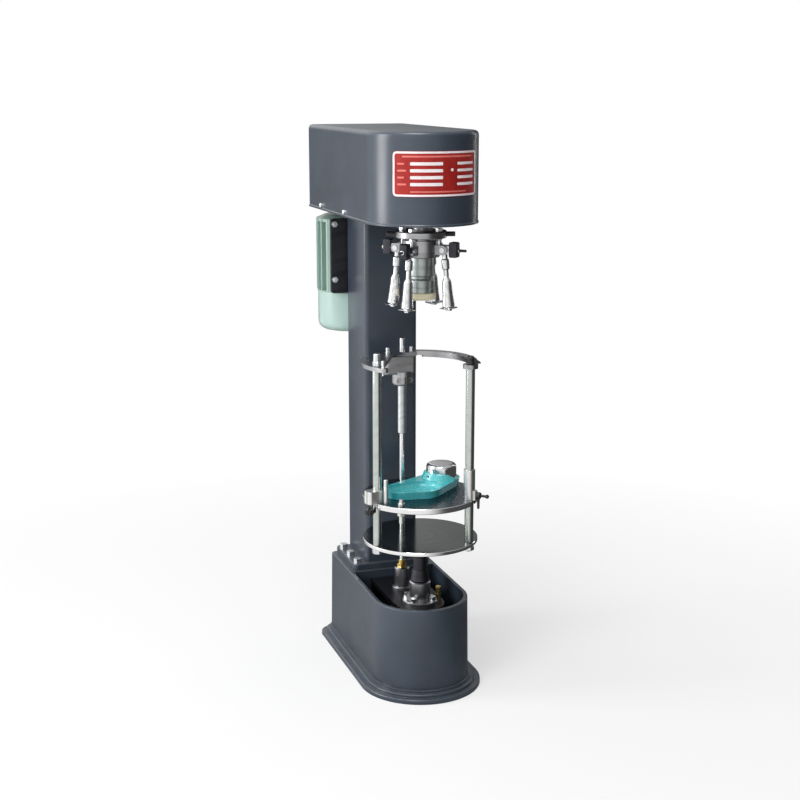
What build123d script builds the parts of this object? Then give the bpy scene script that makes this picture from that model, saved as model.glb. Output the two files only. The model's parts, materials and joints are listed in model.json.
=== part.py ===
from build123d import *

import math
import os

# Bench cap-closing machine, in millimetres.
# The origin is where the spindle's axis meets the bench. +Z is up and +Y runs to the back.

# Fits and small gaps
running_gap = 0.05
seat_gap = 0.3

# Base: a D-shaped casting on a moulded foot
foot_height = 18.0
foot_radius = 109.0
foot_ledge = 7.0
foot_corner = 25.0
casing_radius = 85.0
casing_ledge = 8.0
casing_corner = 12.0
casing_top = 163.0
casing_wall = 7.0
casing_draft = 0.8
casing_floor = 8.0
well_back = 150.0
partition = 8.0
shelf = 12.0

# Guide bracket in the well, with the lift bush and the socket of the guide rod
bracket_top = 148.0
bracket_plate = 10.0
bracket_half_width = 45.0
bracket_nose = 44.0
bracket_heel = 36.0
bracket_corner = 8.0
heel_thickness = 8.0
heel_bolt_x = 30.0
heel_bolt_drop = 20.0
small_bolt = 3.0
small_flats = 10.0
small_head = 5.0
bush_flange_radius = 31.0
bush_flange = 8.0
bush_radius = 19.0
bush_top = 190.0
bush_bolt_circle = 25.5
bush_spigot_step = 3.0
socket_radius = 14.0
socket_flange_radius = 18.0
socket_flange = 5.0
socket_top = 190.0
stud_place = (38.0, 8.0)
stud_length = 24.0
rod_place = (-6.0, 82.0)
rod_radius = 4.5
rod_engagement = 73.0
rod_seat = 2.0

# Lift shaft and its lever
lift_travel = 60.0
shaft_radius = 12.0
shaft_bottom = 50.0
pin_height = 62.0
pin_radius = 4.0
pin_half_length = 22.0
buffer_radius = 17.0
buffer_height = 22.0
lever_pivot_y = 136.0
lever_hub_radius = 11.0
lever_eye_radius = 10.0
lever_shaft_radius = 6.0
lever_half_width = 20.0
lever_cheek = 6.0
slot_gap = 0.4
boss_length = 9.0
boss_radius = 12.0

# Column
column_width = 101.0
column_depth = 113.0
column_front = 162.0
column_wall = 6.0
column_edge = 9.0
column_cap = 14.0
column_foot = 12.0
column_foot_width = 150.0
column_foot_ledge = 6.0
column_bolt_x = 64.0
column_bolt_inset = 10.0
column_bolt = 4.0

# Head: plate, cover and bearing housing
cover_radius = 96.0
cover_overhang = 28.0
cover_bottom = 826.5
cover_top = 980.0
cover_wall = 2.5
cover_round = 9.0
cover_corner = 8.0
rim_width = 1.2
rim_height = 3.0
plate_bottom = 827.5
plate_thickness = 14.0
cover_screw_ys = (134.0, 285.0)
cover_screw_radius = 4.4
cover_screw = 2.0
cover_screw_length = 11.0
housing_radius = 32.0
housing_bottom = 820.0
housing_top = 892.0
housing_flange_radius = 52.0
housing_flange = 8.0
bearing_radius = 24.0
bearing_width = 14.0
bearing_shoulder = 20.0

# Spindle and belt drive
spindle_radius = 14.0
spindle_bottom = 796.0
spindle_top = 935.0
spring_bore = 11.5
spring_top = 830.0
pulley_bottom = 900.0
pulley_width = 22.0
pulley_radius = 50.0
pulley_hub_radius = 24.0
pulley_step = 3.0
pulley_holes = 6
pulley_hole_circle = 32.5
pulley_hole = 5.5
belt_height = 9.0
belt_depth = 8.0
groove_depth = 8.0
motor_pulley_radius = 21.0

# Rotating head: ring, carrier and four levers
lever_angles = (45, 135, 225, 315)
ring_radius = 44.0
ring_bottom = 801.0
ring_thickness = 12.0
ring_screw_angles = (-18, 162)
ring_screw_end = 58.0
ring_screw_radius = 4.2
ring_screw_shank = 3.0
ring_screw_depth = 9.0
stop_bolt_circle = 34.0
stop_bolt_radius = 3.5
carrier_radius = 32.0
carrier_bottom = 768.0
carrier_top = 797.0
carrier_neck = 24.0
carrier_bore = 22.5
carrier_web = 6.5
pivot_radius = 44.0
pivot_z = 782.0
pivot_pin_radius = 3.0
ear_radius = 8.0
ear_thickness = 5.0
hub_radius = 7.5
hub_width = 9.0
side_gap = 0.3
finger_end = 20.0
finger_tip = 3.0
finger_width = 8.0
lever_swing = 8.0
leg_lean = 5.0
block_inner = 54.5
block_outer = 69.0
block_height = 26.0
block_width = 14.0
block_round = 3.0
lever_stud_radius = 2.4
lever_stud_end = 84.0
leg_length = 96.0
roller_radius = 16.0
roller_hub = 6.0
roller_thickness = 4.0
axle_radius = 3.0
axle_head = 5.5
axle_head_height = 2.4

# Press assembly inside the ring of rollers
press_rod_radius = 8.0
press_rod_top = 940.0
spool_radius = 21.5
spool_flange = 5.0
groove_floor = 16.0
groove_gap = 0.2
nose_top_radius = 22.0
nose_step_z = 732.0
nose_low_radius = 24.0
pad_radius = 26.0
pad_top = 708.0
pad_bottom = 696.0
pad_dish_radius = 17.0
pad_dish = 4.0
spring_wire = 1.8
spring_turns = 5

# Carriage: lower disc, two pillars and the top arms
disc_radius = 101.5
lower_disc_top = 274.0
lower_disc = 6.5
disc_hub_radius = 30.0
disc_hub_neck = 19.0
disc_hub_height = 22.0
left_pillar = (-88.5, -30.0)
right_pillar = (68.0, -63.0)
pillar_radius = 7.7
pillar_top = 583.0
thread_radius = 5.0
nut_flats = 17.0
nut_height = 8.0
arm_thickness = 7.0
cap_nut_top = 612.0
sleeve_radius = 7.5
sleeve_bottom = 442.0
clamp_collar = 21.0
clamp_collar_radius = 18.0
clamp_split = 551.0
clamp_top = 583.0
clamp_left = -43.0
clamp_right = 18.0
clamp_depth = 26.0
clamp_round = 8.0
clamp_bolt = 2.5
clamp_bolt_in_left = 10.0
clamp_bolt_in_right = 7.0
rear_stud_top = 615.0
rear_stud_radius = 4.6
arm_inner = 82.0
arm_outer = 98.0
arm_rib_inner = 86.0
arm_rib_outer = 92.0
arm_rib_depth = 4.0
arm_rib_share = 0.62
arm_screw = 2.6
arm_screw_angle = -14.0
left_arm_half = 10.0
right_boss_radius = 13.0
horn_inner = 92.0
horn_outer = 104.0
horn_angles = (213.0, 150.0)
horn_stud_angle = 211.0
horn_stud_radius = 3.2
horn_stud_height = 13.0

# Wing knob on the right pillar
wing_base_radius = 7.0
wing_neck_radius = 5.6
wing_cap_radius = 6.4
wing_base = 4.0
wing_cap_bottom = 7.5
wing_height = 14.0
wing_reach = 17.0
wing_half = 2.2
wing_bore = 12.3

# Bottle table and its fittings
upper_disc_top = 352.0
upper_disc = 10.0
rod_hole = 8.2
clamp_block_height = 22.0
clamp_block_wall = 3.4
clamp_block_outer = 22.0
clamp_block_width = 20.0
clamp_slit = 1.6
right_lug_outer = 13.0
right_lug_width = 11.0
right_lug_height = 16.0
fitting_screw = 2.6
sleeve_top = 405.0
guide_sleeve_wall = 2.2
short_post = (-78.0, -45.0)
short_post_radius = 3.8
short_post_top = 395.0
front_stud = (-57.0, -66.0)
front_stud_top = 363.0
front_stud_bottom = 322.0
locator_post = (54.0, 40.0)
locator_post_radius = 27.0
locator_post_height = 40.0
locator_post_round = 8.0
locator_height = 14.0
locator_draft = 12.0
locator_ring = 6.0
locator_collar = 25.0
locator_collar_slope = 30.0
locator_flare = 11.0
locator_shoulder = 3.0
locator_screw = 3.0
locator_screw_height = 19.0
locator_screw_angle = 203.0
locator_lobes = ((-38.0, -8.0, 30.0), (0.0, -8.0, 36.0))
dish_rim = 3.5
dish_depth = 9.0
dish_round = 7.0
mouth_radius = 22.0
mouth_depth = 5.0
knob_radius = 8.0
knob_height = 9.0
handle_hub_radius = 6.0
handle_hub = 8.0
handle_stem = 2.2
handle_reach = 20.0
handle_ball = 3.6
handle_length = 22.0
handle_end = 2.8

# Motor behind the column
motor_x = -21.0
motor_standoff = 62.0
motor_plate_front = column_front + column_depth
motor_plate = 8.0
plate_bolt_depth = 5.0
plate_bolt_xs = (-38.0, 12.0)
plate_bolt_inset = 18.0
foot_screw_low = 26.0
foot_screw_high = 10.0
motor_foot_ease = 2.0
sunk_head = 5.5
sunk_head_radius = 5.0
motor_plate_left = -80.0
motor_plate_right = 38.0
motor_plate_bottom = 671.0
motor_plate_height = 139.0
motor_fin_radius = 66.0
motor_body_radius = 57.0
motor_fin_count = 24
motor_fin = 4.0
terminal_box = (28.0, 56.0, 74.0)
terminal_gap = 10.0
motor_foot = 14.0
motor_foot_width = 13.0
motor_foot_reach = 53.0
motor_top = 806.0
motor_nose_top = 821.0
motor_bottom = 655.0
cowl_joint = 667.0
cowl_radius = 64.0
cowl_wall = 1.6
cowl_bottom = 593.0
cowl_round = 16.0
rotor_radius = 7.0
fan_radius = 50.0
fan_blades = 7
fan_blade = 2.4
fan_blade_height = 20.0
fan_disc = 4.0
fan_hub_radius = 13.0
fan_gap = 16.0

# Sizes that follow from the ones above
casing_back = column_front + column_depth + casing_ledge
foot_back = casing_back + foot_ledge
motor_y = motor_plate_front + motor_plate + motor_standoff
cover_back = motor_y + cover_overhang
rod_top = sleeve_bottom + rod_engagement
clamp_bottom = clamp_split - clamp_collar
plate_top = plate_bottom + plate_thickness
ring_top = ring_bottom + ring_thickness
groove_half = finger_tip + groove_gap
spool_bottom = pivot_z - groove_half - spool_flange
spool_top = pivot_z + groove_half + spool_flange
finger_reach = pivot_radius - stop_bolt_circle + stop_bolt_radius
finger_rise = finger_reach * math.sin(math.radians(lever_swing))
stop_bolt_tip = pivot_z + finger_rise + finger_tip * math.cos(math.radians(lever_swing)) + seat_gap
bracket_bottom = bracket_top - bracket_plate
motor_pulley_floor = motor_pulley_radius - groove_depth
pulley_floor = pulley_radius - groove_depth


def disc(radius, bottom, top, x=0.0, y=0.0):
    """Upright cylinder between two heights."""
    return Pos(x, y, bottom) * extrude(Circle(radius), top - bottom)


def hexagon(flats, bottom, top, x=0.0, y=0.0):
    """Upright hexagonal prism, sized across its flats."""
    outline = RegularPolygon(flats / 2, 6, major_radius=False)
    return Pos(x, y, bottom) * extrude(outline, top - bottom)


def turned(points):
    """Body turned about the Z axis from a closed outline of (radius, height) points."""
    outline = Plane.XZ * make_face(Polyline(*points, close=True))
    return revolve(outline, Axis.Z)


def hull(circles):
    """Flat outline stretched round circles given as (x, y, radius)."""
    edges = []
    for x, y, radius in circles:
        edges += (Pos(x, y) * Circle(radius)).edges()
    return make_hull(edges)


def d_plan(radius, back, corner):
    """Plan with a half-round front, straight sides and a square back with rounded corners."""
    plan = Circle(radius) + Pos(0, back / 2) * Rectangle(2 * radius, back)
    return fillet(plan.vertices().group_by(Axis.Y)[-1], corner)


def d_block(radius, back, corner, bottom, height):
    """D-shaped plan raised to a block."""
    return Pos(0, 0, bottom) * extrude(d_plan(radius, back, corner), height)


def top_edges(solid):
    """Edges round the highest face."""
    return solid.faces().sort_by(Axis.Z)[-1].edges()


def dome_bolt(radius, head_bottom, head_height, shank_radius, shank_bottom, x, y):
    """Upright bolt with a domed head."""
    head = disc(radius, head_bottom, head_bottom + head_height, x, y)
    head = fillet(top_edges(head), 0.7 * min(radius, head_height))
    return head + disc(shank_radius, shank_bottom, head_bottom, x, y)


def bolt(flats, seat, head_height, shank_radius, shank_bottom, x, y):
    """Upright hexagon bolt whose head rests on a seat."""
    head = hexagon(flats, seat, seat + head_height, x, y)
    return head + disc(shank_radius, shank_bottom, seat, x, y)


def build_foot():
    """Moulded foot: a wide slab, a bead and a step up to the casing."""
    rise = foot_radius - casing_radius
    slab = d_block(foot_radius, foot_back, foot_corner, 0, 0.45 * foot_height)
    slab = fillet(top_edges(slab), 0.15 * foot_height)
    bead_inset = 0.42 * rise
    bead = d_block(
        foot_radius - bead_inset, foot_back - 0.5, foot_corner, 0.4 * foot_height, 0.35 * foot_height
    )
    bead = fillet(top_edges(bead), 0.14 * foot_height)
    step_inset = 0.72 * rise
    step = d_block(
        foot_radius - step_inset, foot_back - 1.5, foot_corner, 0.7 * foot_height, 0.3 * foot_height
    )
    return slab + bead + step


def build_casing():
    """Drafted D-shaped casing: an open well in front and a closed shelf behind."""
    height = casing_top - foot_height
    spread = height * math.tan(math.radians(casing_draft))
    outline = d_plan(casing_radius + spread, casing_back + spread, casing_corner)
    body = Pos(0, 0, foot_height) * extrude(outline, height, taper=casing_draft)
    body = fillet(top_edges(body), 2.0)
    inside = casing_radius - casing_wall
    well = Pos(0, well_back / 2) * Rectangle(2 * inside, well_back) + Circle(inside)
    floor = foot_height + casing_floor
    body -= Pos(0, 0, floor) * extrude(well, height)
    room_front = well_back + partition
    room_back = casing_back - casing_wall
    room = Pos(0, (room_front + room_back) / 2) * Rectangle(2 * inside, room_back - room_front)
    body -= Pos(0, 0, foot_height - 1) * extrude(room, casing_top - shelf - foot_height + 1)
    pivot = lever_pivot_height()
    for side in (-1, 1):
        reach = inside - boss_length
        start = reach if side > 0 else -inside - 1
        boss = Pos(start, lever_pivot_y, pivot) * Rot(0, 90, 0) * Cylinder(
            boss_radius, boss_length + 1, align=(Align.CENTER, Align.CENTER, Align.MIN)
        )
        body += boss
    bore_half = inside - 1.0
    body -= Pos(0, lever_pivot_y, pivot) * Rot(0, 90, 0) * Cylinder(
        lever_shaft_radius + running_gap, 2 * bore_half
    )
    return body


def lever_pivot_height():
    """Height of the lift lever's shaft: level with the middle of the cross pin's travel."""
    return pin_height + lift_travel / 2


def lever_rest_angle():
    """Angle of the resting lift lever below the horizontal, in degrees."""
    return math.degrees(math.atan2(lift_travel / 2, lever_pivot_y))


def build_bracket():
    """Cast bracket on the partition, with a round nose and a heel."""
    nose = Circle(bracket_nose)
    arm = Pos(0, well_back / 2) * Rectangle(2 * bracket_half_width, well_back)
    arm = fillet(arm.vertices().group_by(Axis.Y)[0], bracket_corner)
    plate = Pos(0, 0, bracket_bottom) * extrude(nose + arm, bracket_plate)
    heel = Pos(0, well_back - heel_thickness / 2, bracket_top - bracket_heel / 2) * Box(
        2 * bracket_half_width, heel_thickness, bracket_heel
    )
    solid = plate + heel
    solid -= disc(bush_radius - bush_spigot_step + running_gap, bracket_bottom - 1, bracket_top + 1)
    solid -= disc(rod_radius + running_gap, bracket_bottom + rod_seat, bracket_top + 1, *rod_place)
    for x, y in bush_bolt_places() + [stud_place]:
        solid -= disc(small_bolt + running_gap, bracket_bottom - 1, bracket_top + 1, x, y)
    for place in heel_bolt_places():
        solid -= place * Pos(0, 0, -heel_thickness / 2) * Cylinder(
            small_bolt + running_gap, heel_thickness + 2
        )
    return solid


def heel_bolt_places():
    """Frames on the heel's front face, with +Z pointing to the front."""
    y = well_back - heel_thickness
    z = bracket_top - heel_bolt_drop
    return [Pos(x, y, z) * Rot(90, 0, 0) for x in (-heel_bolt_x, heel_bolt_x)]


def bush_bolt_places():
    """Four bolt places round the lift bush."""
    places = []
    for angle in lever_angles:
        turn = math.radians(angle)
        places.append((bush_bolt_circle * math.cos(turn), bush_bolt_circle * math.sin(turn)))
    return places


def build_bush():
    """Flanged bush that guides the lift shaft, and the flanged socket of the guide rod."""
    flange_top = bracket_top + bush_flange
    spigot = bush_radius - bush_spigot_step
    bore = shaft_radius + running_gap
    points = (
        (bore, bracket_bottom),
        (spigot, bracket_bottom),
        (spigot, bracket_top),
        (bush_flange_radius, bracket_top),
        (bush_flange_radius, flange_top - 1.5),
        (bush_flange_radius - 1.5, flange_top),
        (bush_radius, flange_top),
        (bush_radius, bush_top - 2),
        (bush_radius - 2, bush_top),
        (bore, bush_top),
    )
    solid = turned(points)
    for x, y in bush_bolt_places():
        solid -= disc(small_bolt + running_gap, bracket_top - 1, flange_top + 1, x, y)
    return [solid, build_socket()]


def build_socket():
    """Flanged socket on the bracket that the guide rod stands in."""
    bore = rod_radius + running_gap
    flange_top = bracket_top + socket_flange
    points = (
        (bore, bracket_top),
        (socket_flange_radius, bracket_top),
        (socket_flange_radius, flange_top - 1),
        (socket_flange_radius - 1, flange_top),
        (socket_radius, flange_top),
        (socket_radius, socket_top - 2),
        (socket_radius - 2, socket_top),
        (bore, socket_top),
    )
    x, y = rod_place
    return Pos(x, y, 0) * turned(points)


def build_base_bolts():
    """Bolts of the lift bush and of the bracket's heel."""
    bolts = []
    seat = bracket_top + bush_flange
    washer_top = seat + 1.2
    for x, y in bush_bolt_places():
        washer = disc(5.8, seat, washer_top, x, y)
        bolts.append(washer + bolt(small_flats, washer_top, 6.5, small_bolt, bracket_bottom, x, y))
    for place in heel_bolt_places():
        bolts.append(place * bolt(small_flats, 0, small_head, small_bolt, 0.5 - heel_thickness, 0, 0))
    return bolts


def build_brass():
    """Brass lock nut on the guide rod and brass grease stud beside the bush."""
    nut = hexagon(16, socket_top, socket_top + 6, *rod_place)
    nut += disc(6.6, socket_top + 6, socket_top + 13, *rod_place)
    nut -= disc(rod_radius + running_gap, socket_top - 1, socket_top + 20, *rod_place)
    top = bracket_top + stud_length
    stud = disc(5, bracket_top, top, *stud_place)
    stud = fillet(top_edges(stud), 1.5)
    stud += disc(3, bracket_bottom, bracket_top, *stud_place)
    return [nut, stud]


def build_lift_lever():
    """Forked lever on a cross shaft; its eyes hold the pin of the lift shaft."""
    lean = lever_rest_angle()
    reach_low = math.hypot(lever_pivot_y, lift_travel / 2)
    slot_radius = pin_radius + slot_gap
    cheek_plan = hull(
        ((0, 0, lever_hub_radius), (-lever_pivot_y - 2, 0, lever_eye_radius))
    )
    slot = hull(
        ((-lever_pivot_y + slot_gap, 0, slot_radius), (-reach_low - slot_gap, 0, slot_radius))
    )
    cheek_plan -= slot
    cheek = extrude(cheek_plan, lever_cheek)
    lever = Plane.YZ * Rot(0, 0, lean) * Pos(0, 0, lever_half_width - lever_cheek) * cheek
    lever += Plane.YZ * Rot(0, 0, lean) * Pos(0, 0, -lever_half_width) * cheek
    hub = Rot(0, 90, 0) * Cylinder(lever_hub_radius, 2 * lever_half_width)
    inside = casing_radius - casing_wall
    cross = Rot(0, 90, 0) * Cylinder(lever_shaft_radius, 2 * (inside - 2))
    return Pos(0, lever_pivot_y, lever_pivot_height()) * (lever + hub + cross)


def build_guide_rod():
    """Upright rod that keeps the carriage from turning."""
    rod = disc(rod_radius, bracket_bottom + rod_seat, rod_top, *rod_place)
    return chamfer(top_edges(rod), 1)


def build_column():
    """Rounded box column on a foot plate, closed at the top."""
    middle = column_front + column_depth / 2
    top = plate_bottom
    outline = RectangleRounded(column_width, column_depth, column_edge)
    hollow = RectangleRounded(
        column_width - 2 * column_wall, column_depth - 2 * column_wall, column_edge - column_wall
    )
    foot_plan = RectangleRounded(
        column_foot_width, column_depth + 2 * column_foot_ledge, column_edge
    )
    body = Pos(0, middle, casing_top) * extrude(outline, top - casing_top)
    foot = Pos(0, middle, casing_top) * extrude(foot_plan, column_foot)
    foot = fillet(top_edges(foot), 2)
    body += foot
    body -= Pos(0, middle, casing_top - 1) * extrude(hollow, top - column_cap - casing_top + 1)
    for x, y in column_bolt_places():
        body -= disc(column_bolt + running_gap, casing_top - 1, casing_top + column_foot + 1, x, y)
    for x, z in plate_bolt_places():
        body -= Pos(x, motor_plate_front, z) * Rot(90, 0, 0) * Cylinder(
            small_bolt + running_gap, 2 * plate_bolt_depth + 3
        )
    return body


def column_bolt_places():
    """Bolt places on both sides of the column's foot."""
    front = column_front + column_bolt_inset
    back = column_front + column_depth - column_bolt_inset
    rows = (front, (front + back) / 2, back)
    return [(side * column_bolt_x, y) for side in (-1, 1) for y in rows]


def plate_bolt_places():
    """Bolt places (x, z) of the motor plate on the back of the column."""
    low = motor_plate_bottom + plate_bolt_inset
    high = motor_plate_bottom + motor_plate_height - plate_bolt_inset
    return [(x, z) for x in plate_bolt_xs for z in (low, high)]


def foot_screw_places():
    """Bolt places (x, z) of the motor's feet."""
    low = motor_plate_bottom + foot_screw_low
    high = motor_plate_bottom + motor_plate_height - foot_screw_high
    return [(motor_x + side * motor_foot_reach, z) for side in (-1, 1) for z in (low, high)]


def build_column_bolts():
    """Bolts of the column's foot and of the motor plate."""
    bolts = []
    seat = casing_top + column_foot
    for x, y in column_bolt_places():
        bolts.append(bolt(13, seat, 7, column_bolt, casing_top, x, y))
    back = motor_plate_front + motor_plate
    for x, z in plate_bolt_places():
        turn = Pos(x, back, z) * Rot(-90, 0, 0)
        head = extrude(Circle(sunk_head_radius), sunk_head - 2 * seat_gap)
        head = turn * Pos(0, 0, seat_gap - sunk_head) * head
        length = motor_plate + plate_bolt_depth
        shank = turn * Pos(0, 0, -length) * extrude(Circle(small_bolt), length - 1)
        bolts.append(head + shank)
    for x, z in foot_screw_places():
        turn = Pos(x, back + motor_foot, z) * Rot(-90, 0, 0)
        through = motor_foot + motor_plate
        if x < motor_x:
            nut = turn * hexagon(small_flats, -through - small_head, -through)
            through += small_head + 3
            bolts.append(turn * bolt(small_flats, 0, small_head, small_bolt, -through, 0, 0) + nut)
        else:
            bolts.append(turn * bolt(small_flats, 0, small_head, small_bolt, -through, 0, 0))
    return bolts


def build_motor_plate():
    """Flat plate between the column and the motor's feet."""
    width = motor_plate_right - motor_plate_left
    x = (motor_plate_left + motor_plate_right) / 2
    outline = RectangleRounded(width, motor_plate_height, 5)
    z = motor_plate_bottom + motor_plate_height / 2
    plate = Pos(x, motor_plate_front + motor_plate, z) * Rot(90, 0, 0) * extrude(outline, motor_plate)
    for hole_x, hole_z in plate_bolt_places() + foot_screw_places():
        hole = Pos(hole_x, motor_plate_front, hole_z) * Rot(90, 0, 0)
        plate -= hole * Cylinder(small_bolt + running_gap, 4 * motor_plate)
    for hole_x, hole_z in plate_bolt_places():
        sink = Pos(hole_x, motor_plate_front + motor_plate, hole_z) * Rot(90, 0, 0)
        plate -= sink * extrude(Circle(sunk_head_radius + running_gap), sunk_head)
    return plate


def build_motor():
    """Finned motor body on two feet, with a drive-end nose and a terminal box."""
    plan = Circle(motor_body_radius)
    depth = motor_fin_radius - motor_body_radius + 4
    for number in range(motor_fin_count):
        turn = 360 * number / motor_fin_count
        plan += Rot(0, 0, turn) * Pos(motor_fin_radius - depth / 2, 0) * Rectangle(depth, motor_fin)
    fins_bottom = cowl_joint + 3
    body = Pos(0, 0, fins_bottom) * extrude(plan, motor_top - fins_bottom)
    core = (
        (0, motor_bottom),
        (cowl_radius - cowl_wall - 0.2, motor_bottom),
        (cowl_radius - cowl_wall - 0.2, cowl_joint),
        (motor_fin_radius - 1, cowl_joint + seat_gap),
        (motor_fin_radius - 1, fins_bottom),
        (motor_fin_radius - 1, motor_top - 6),
        (motor_fin_radius - 1, motor_top),
        (motor_body_radius - 6, motor_top + 6),
        (28, motor_top + 9),
        (24, motor_nose_top),
        (0, motor_nose_top),
    )
    ends = turned(core)
    band = disc(motor_fin_radius + 1, fins_bottom, motor_top - 6) - disc(
        motor_body_radius - 1, fins_bottom - 1, motor_top
    )
    ends -= band
    body = Pos(motor_x, motor_y, 0) * (body + ends)
    feet_front = motor_plate_front + motor_plate
    z = motor_plate_bottom + motor_plate_height / 2
    for side in (-1, 1):
        height = motor_plate_height - 2 * motor_foot_ease
        foot = Box(motor_foot_width, motor_foot, height)
        foot += Pos(-side * 8, 5, 0) * Box(10, motor_foot + 10, height)
        body += Pos(motor_x + side * motor_foot_reach, feet_front + motor_foot / 2, z) * foot
    body -= Pos(motor_x, feet_front - 10, z) * Box(3 * motor_fin_radius, 20, 2 * motor_plate_height)
    box = fillet(Box(*terminal_box).edges().filter_by(Axis.X), 5)
    body += Pos(motor_x + motor_fin_radius + terminal_gap, motor_y, z) * box
    body -= disc(rotor_radius + running_gap, motor_bottom - 1, motor_nose_top + 1, motor_x, motor_y)
    for x, z in foot_screw_places():
        hole = Pos(x, feet_front, z) * Rot(90, 0, 0)
        body -= hole * Cylinder(small_bolt + running_gap, 3 * motor_foot)
        room = Pos(x, feet_front + motor_foot, z) * Rot(-90, 0, 0)
        body -= room * extrude(Circle(0.65 * small_flats), 12)
    return body


def build_cowl():
    """Deep-drawn fan cowl with a round lower edge and an intake of ring slots."""
    shell = disc(cowl_radius, cowl_bottom, cowl_joint)
    shell = fillet(shell.faces().sort_by(Axis.Z)[0].edges(), cowl_round)
    hollow = disc(cowl_radius - cowl_wall, cowl_bottom + cowl_wall, cowl_joint + 1)
    hollow = fillet(hollow.faces().sort_by(Axis.Z)[0].edges(), cowl_round - cowl_wall)
    shell -= hollow
    for radius in (22, 32, 42):
        slot = SlotArc(CenterArc((0, 0), radius, -32, 64), 4.5)
        for turn in (0, 90, 180, 270):
            shell -= Pos(0, 0, cowl_bottom - 1) * Rot(0, 0, turn) * extrude(slot, cowl_wall + 2)
    return Pos(motor_x, motor_y, 0) * shell


def build_rotor():
    """Motor shaft from the fan to the pulley."""
    low = cowl_bottom + fan_gap - 4
    shaft = disc(rotor_radius, low, pulley_bottom + pulley_width + 3, motor_x, motor_y)
    return chamfer(top_edges(shaft), 1)


def build_fan():
    """Radial cooling fan on the lower end of the motor shaft."""
    low = cowl_bottom + fan_gap
    back = low + fan_blade_height
    fan = disc(fan_hub_radius, low, back + fan_disc) + disc(fan_radius, back, back + fan_disc)
    blade_start = fan_hub_radius - 1
    blade_length = fan_radius - 1 - blade_start
    blade = Pos(blade_start + blade_length / 2, 0, low + 1 + fan_blade_height / 2) * Box(
        blade_length, fan_blade, fan_blade_height
    )
    for number in range(fan_blades):
        fan += Rot(0, 0, 360 * number / fan_blades) * blade
    fan -= disc(rotor_radius + running_gap, low - 1, back + fan_disc + 1)
    return Pos(motor_x, motor_y, 0) * fan


def pulley(radius, hub_radius, bore):
    """Belt pulley with one groove and a hub below."""
    middle = pulley_bottom + pulley_width / 2
    half = belt_height / 2 + seat_gap
    floor = radius - groove_depth
    top = pulley_bottom + pulley_width
    points = (
        (bore, pulley_bottom),
        (hub_radius, pulley_bottom),
        (hub_radius, pulley_bottom + pulley_step),
        (radius, pulley_bottom + pulley_step),
        (radius, middle - half - 1),
        (floor, middle - half),
        (floor, middle + half),
        (radius, middle + half + 1),
        (radius, top - pulley_step),
        (hub_radius, top - pulley_step),
        (hub_radius, top),
        (bore, top),
    )
    return turned(points)


def build_spindle_pulley():
    """Large pulley with six lightening holes."""
    body = pulley(pulley_radius, pulley_hub_radius, spindle_radius + running_gap)
    for number in range(pulley_holes):
        hole = Pos(pulley_hole_circle, 0, pulley_bottom) * Cylinder(pulley_hole, 3 * pulley_width)
        body -= Rot(0, 0, 360 * number / pulley_holes) * hole
    return body


def build_motor_pulley():
    """Small pulley on the motor shaft."""
    small_hub = min(11.0, motor_pulley_floor)
    return Pos(motor_x, motor_y, 0) * pulley(
        motor_pulley_radius, small_hub, rotor_radius + running_gap
    )


def build_belt():
    """Endless belt round the two pulleys, a little clear of their grooves."""
    inner = hull(
        ((0, 0, pulley_floor + seat_gap), (motor_x, motor_y, motor_pulley_floor + seat_gap))
    )
    reach = seat_gap + belt_depth
    outer = hull(
        ((0, 0, pulley_floor + reach), (motor_x, motor_y, motor_pulley_floor + reach))
    )
    bottom = pulley_bottom + (pulley_width - belt_height) / 2
    return Pos(0, 0, bottom) * extrude(outer - inner, belt_height)


def build_head_plate():
    """Thick plate that closes the head below and carries the bearing housing."""
    inset = cover_wall + seat_gap
    plate = d_block(
        cover_radius - inset, cover_back - inset, cover_corner - inset, plate_bottom, plate_thickness
    )
    plate -= disc(housing_radius + running_gap, plate_bottom - 1, plate_top + 1)
    plate -= disc(rotor_radius + 5, plate_bottom - 1, plate_top + 1, motor_x, motor_y)
    for side in (-1, 1):
        for y in cover_screw_ys:
            hole = Pos(side * (cover_radius - inset), y, screw_height()) * Rot(0, 90, 0)
            plate -= hole * Cylinder(cover_screw + running_gap, 2 * cover_screw_length + 2)
    return plate


def screw_height():
    """Height of the cover's side screws: the middle of the head plate."""
    return plate_bottom + plate_thickness / 2


def build_cover():
    """Drawn cover with a round top edge and a rolled rim along its open bottom."""
    height = cover_top - cover_bottom
    shell = d_block(cover_radius, cover_back, cover_corner, cover_bottom, height)
    shell = fillet(top_edges(shell), cover_round)
    rim = d_block(
        cover_radius + rim_width, cover_back + rim_width, cover_corner + rim_width, cover_bottom, rim_height
    )
    rim = fillet(top_edges(rim), 0.9 * rim_width)
    room = d_block(
        cover_radius - cover_wall,
        cover_back - cover_wall,
        cover_corner - cover_wall,
        cover_bottom - 1,
        height + 1 - cover_wall,
    )
    room = fillet(top_edges(room), cover_round - cover_wall)
    cover = shell + rim - room
    for side in (-1, 1):
        for y in cover_screw_ys:
            hole = Pos(side * cover_radius, y, screw_height()) * Rot(0, 90, 0)
            cover -= hole * Cylinder(cover_screw + running_gap, 20)
    return cover


def build_cover_screws():
    """Domed screws in the cover's sides."""
    screws = []
    for side in (-1, 1):
        for y in cover_screw_ys:
            screw = dome_bolt(cover_screw_radius, 0, 3.4, cover_screw, -cover_screw_length, 0, 0)
            place = Pos(side * cover_radius, y, screw_height()) * Rot(0, side * 90, 0)
            screws.append(place * screw)
    return screws


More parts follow.
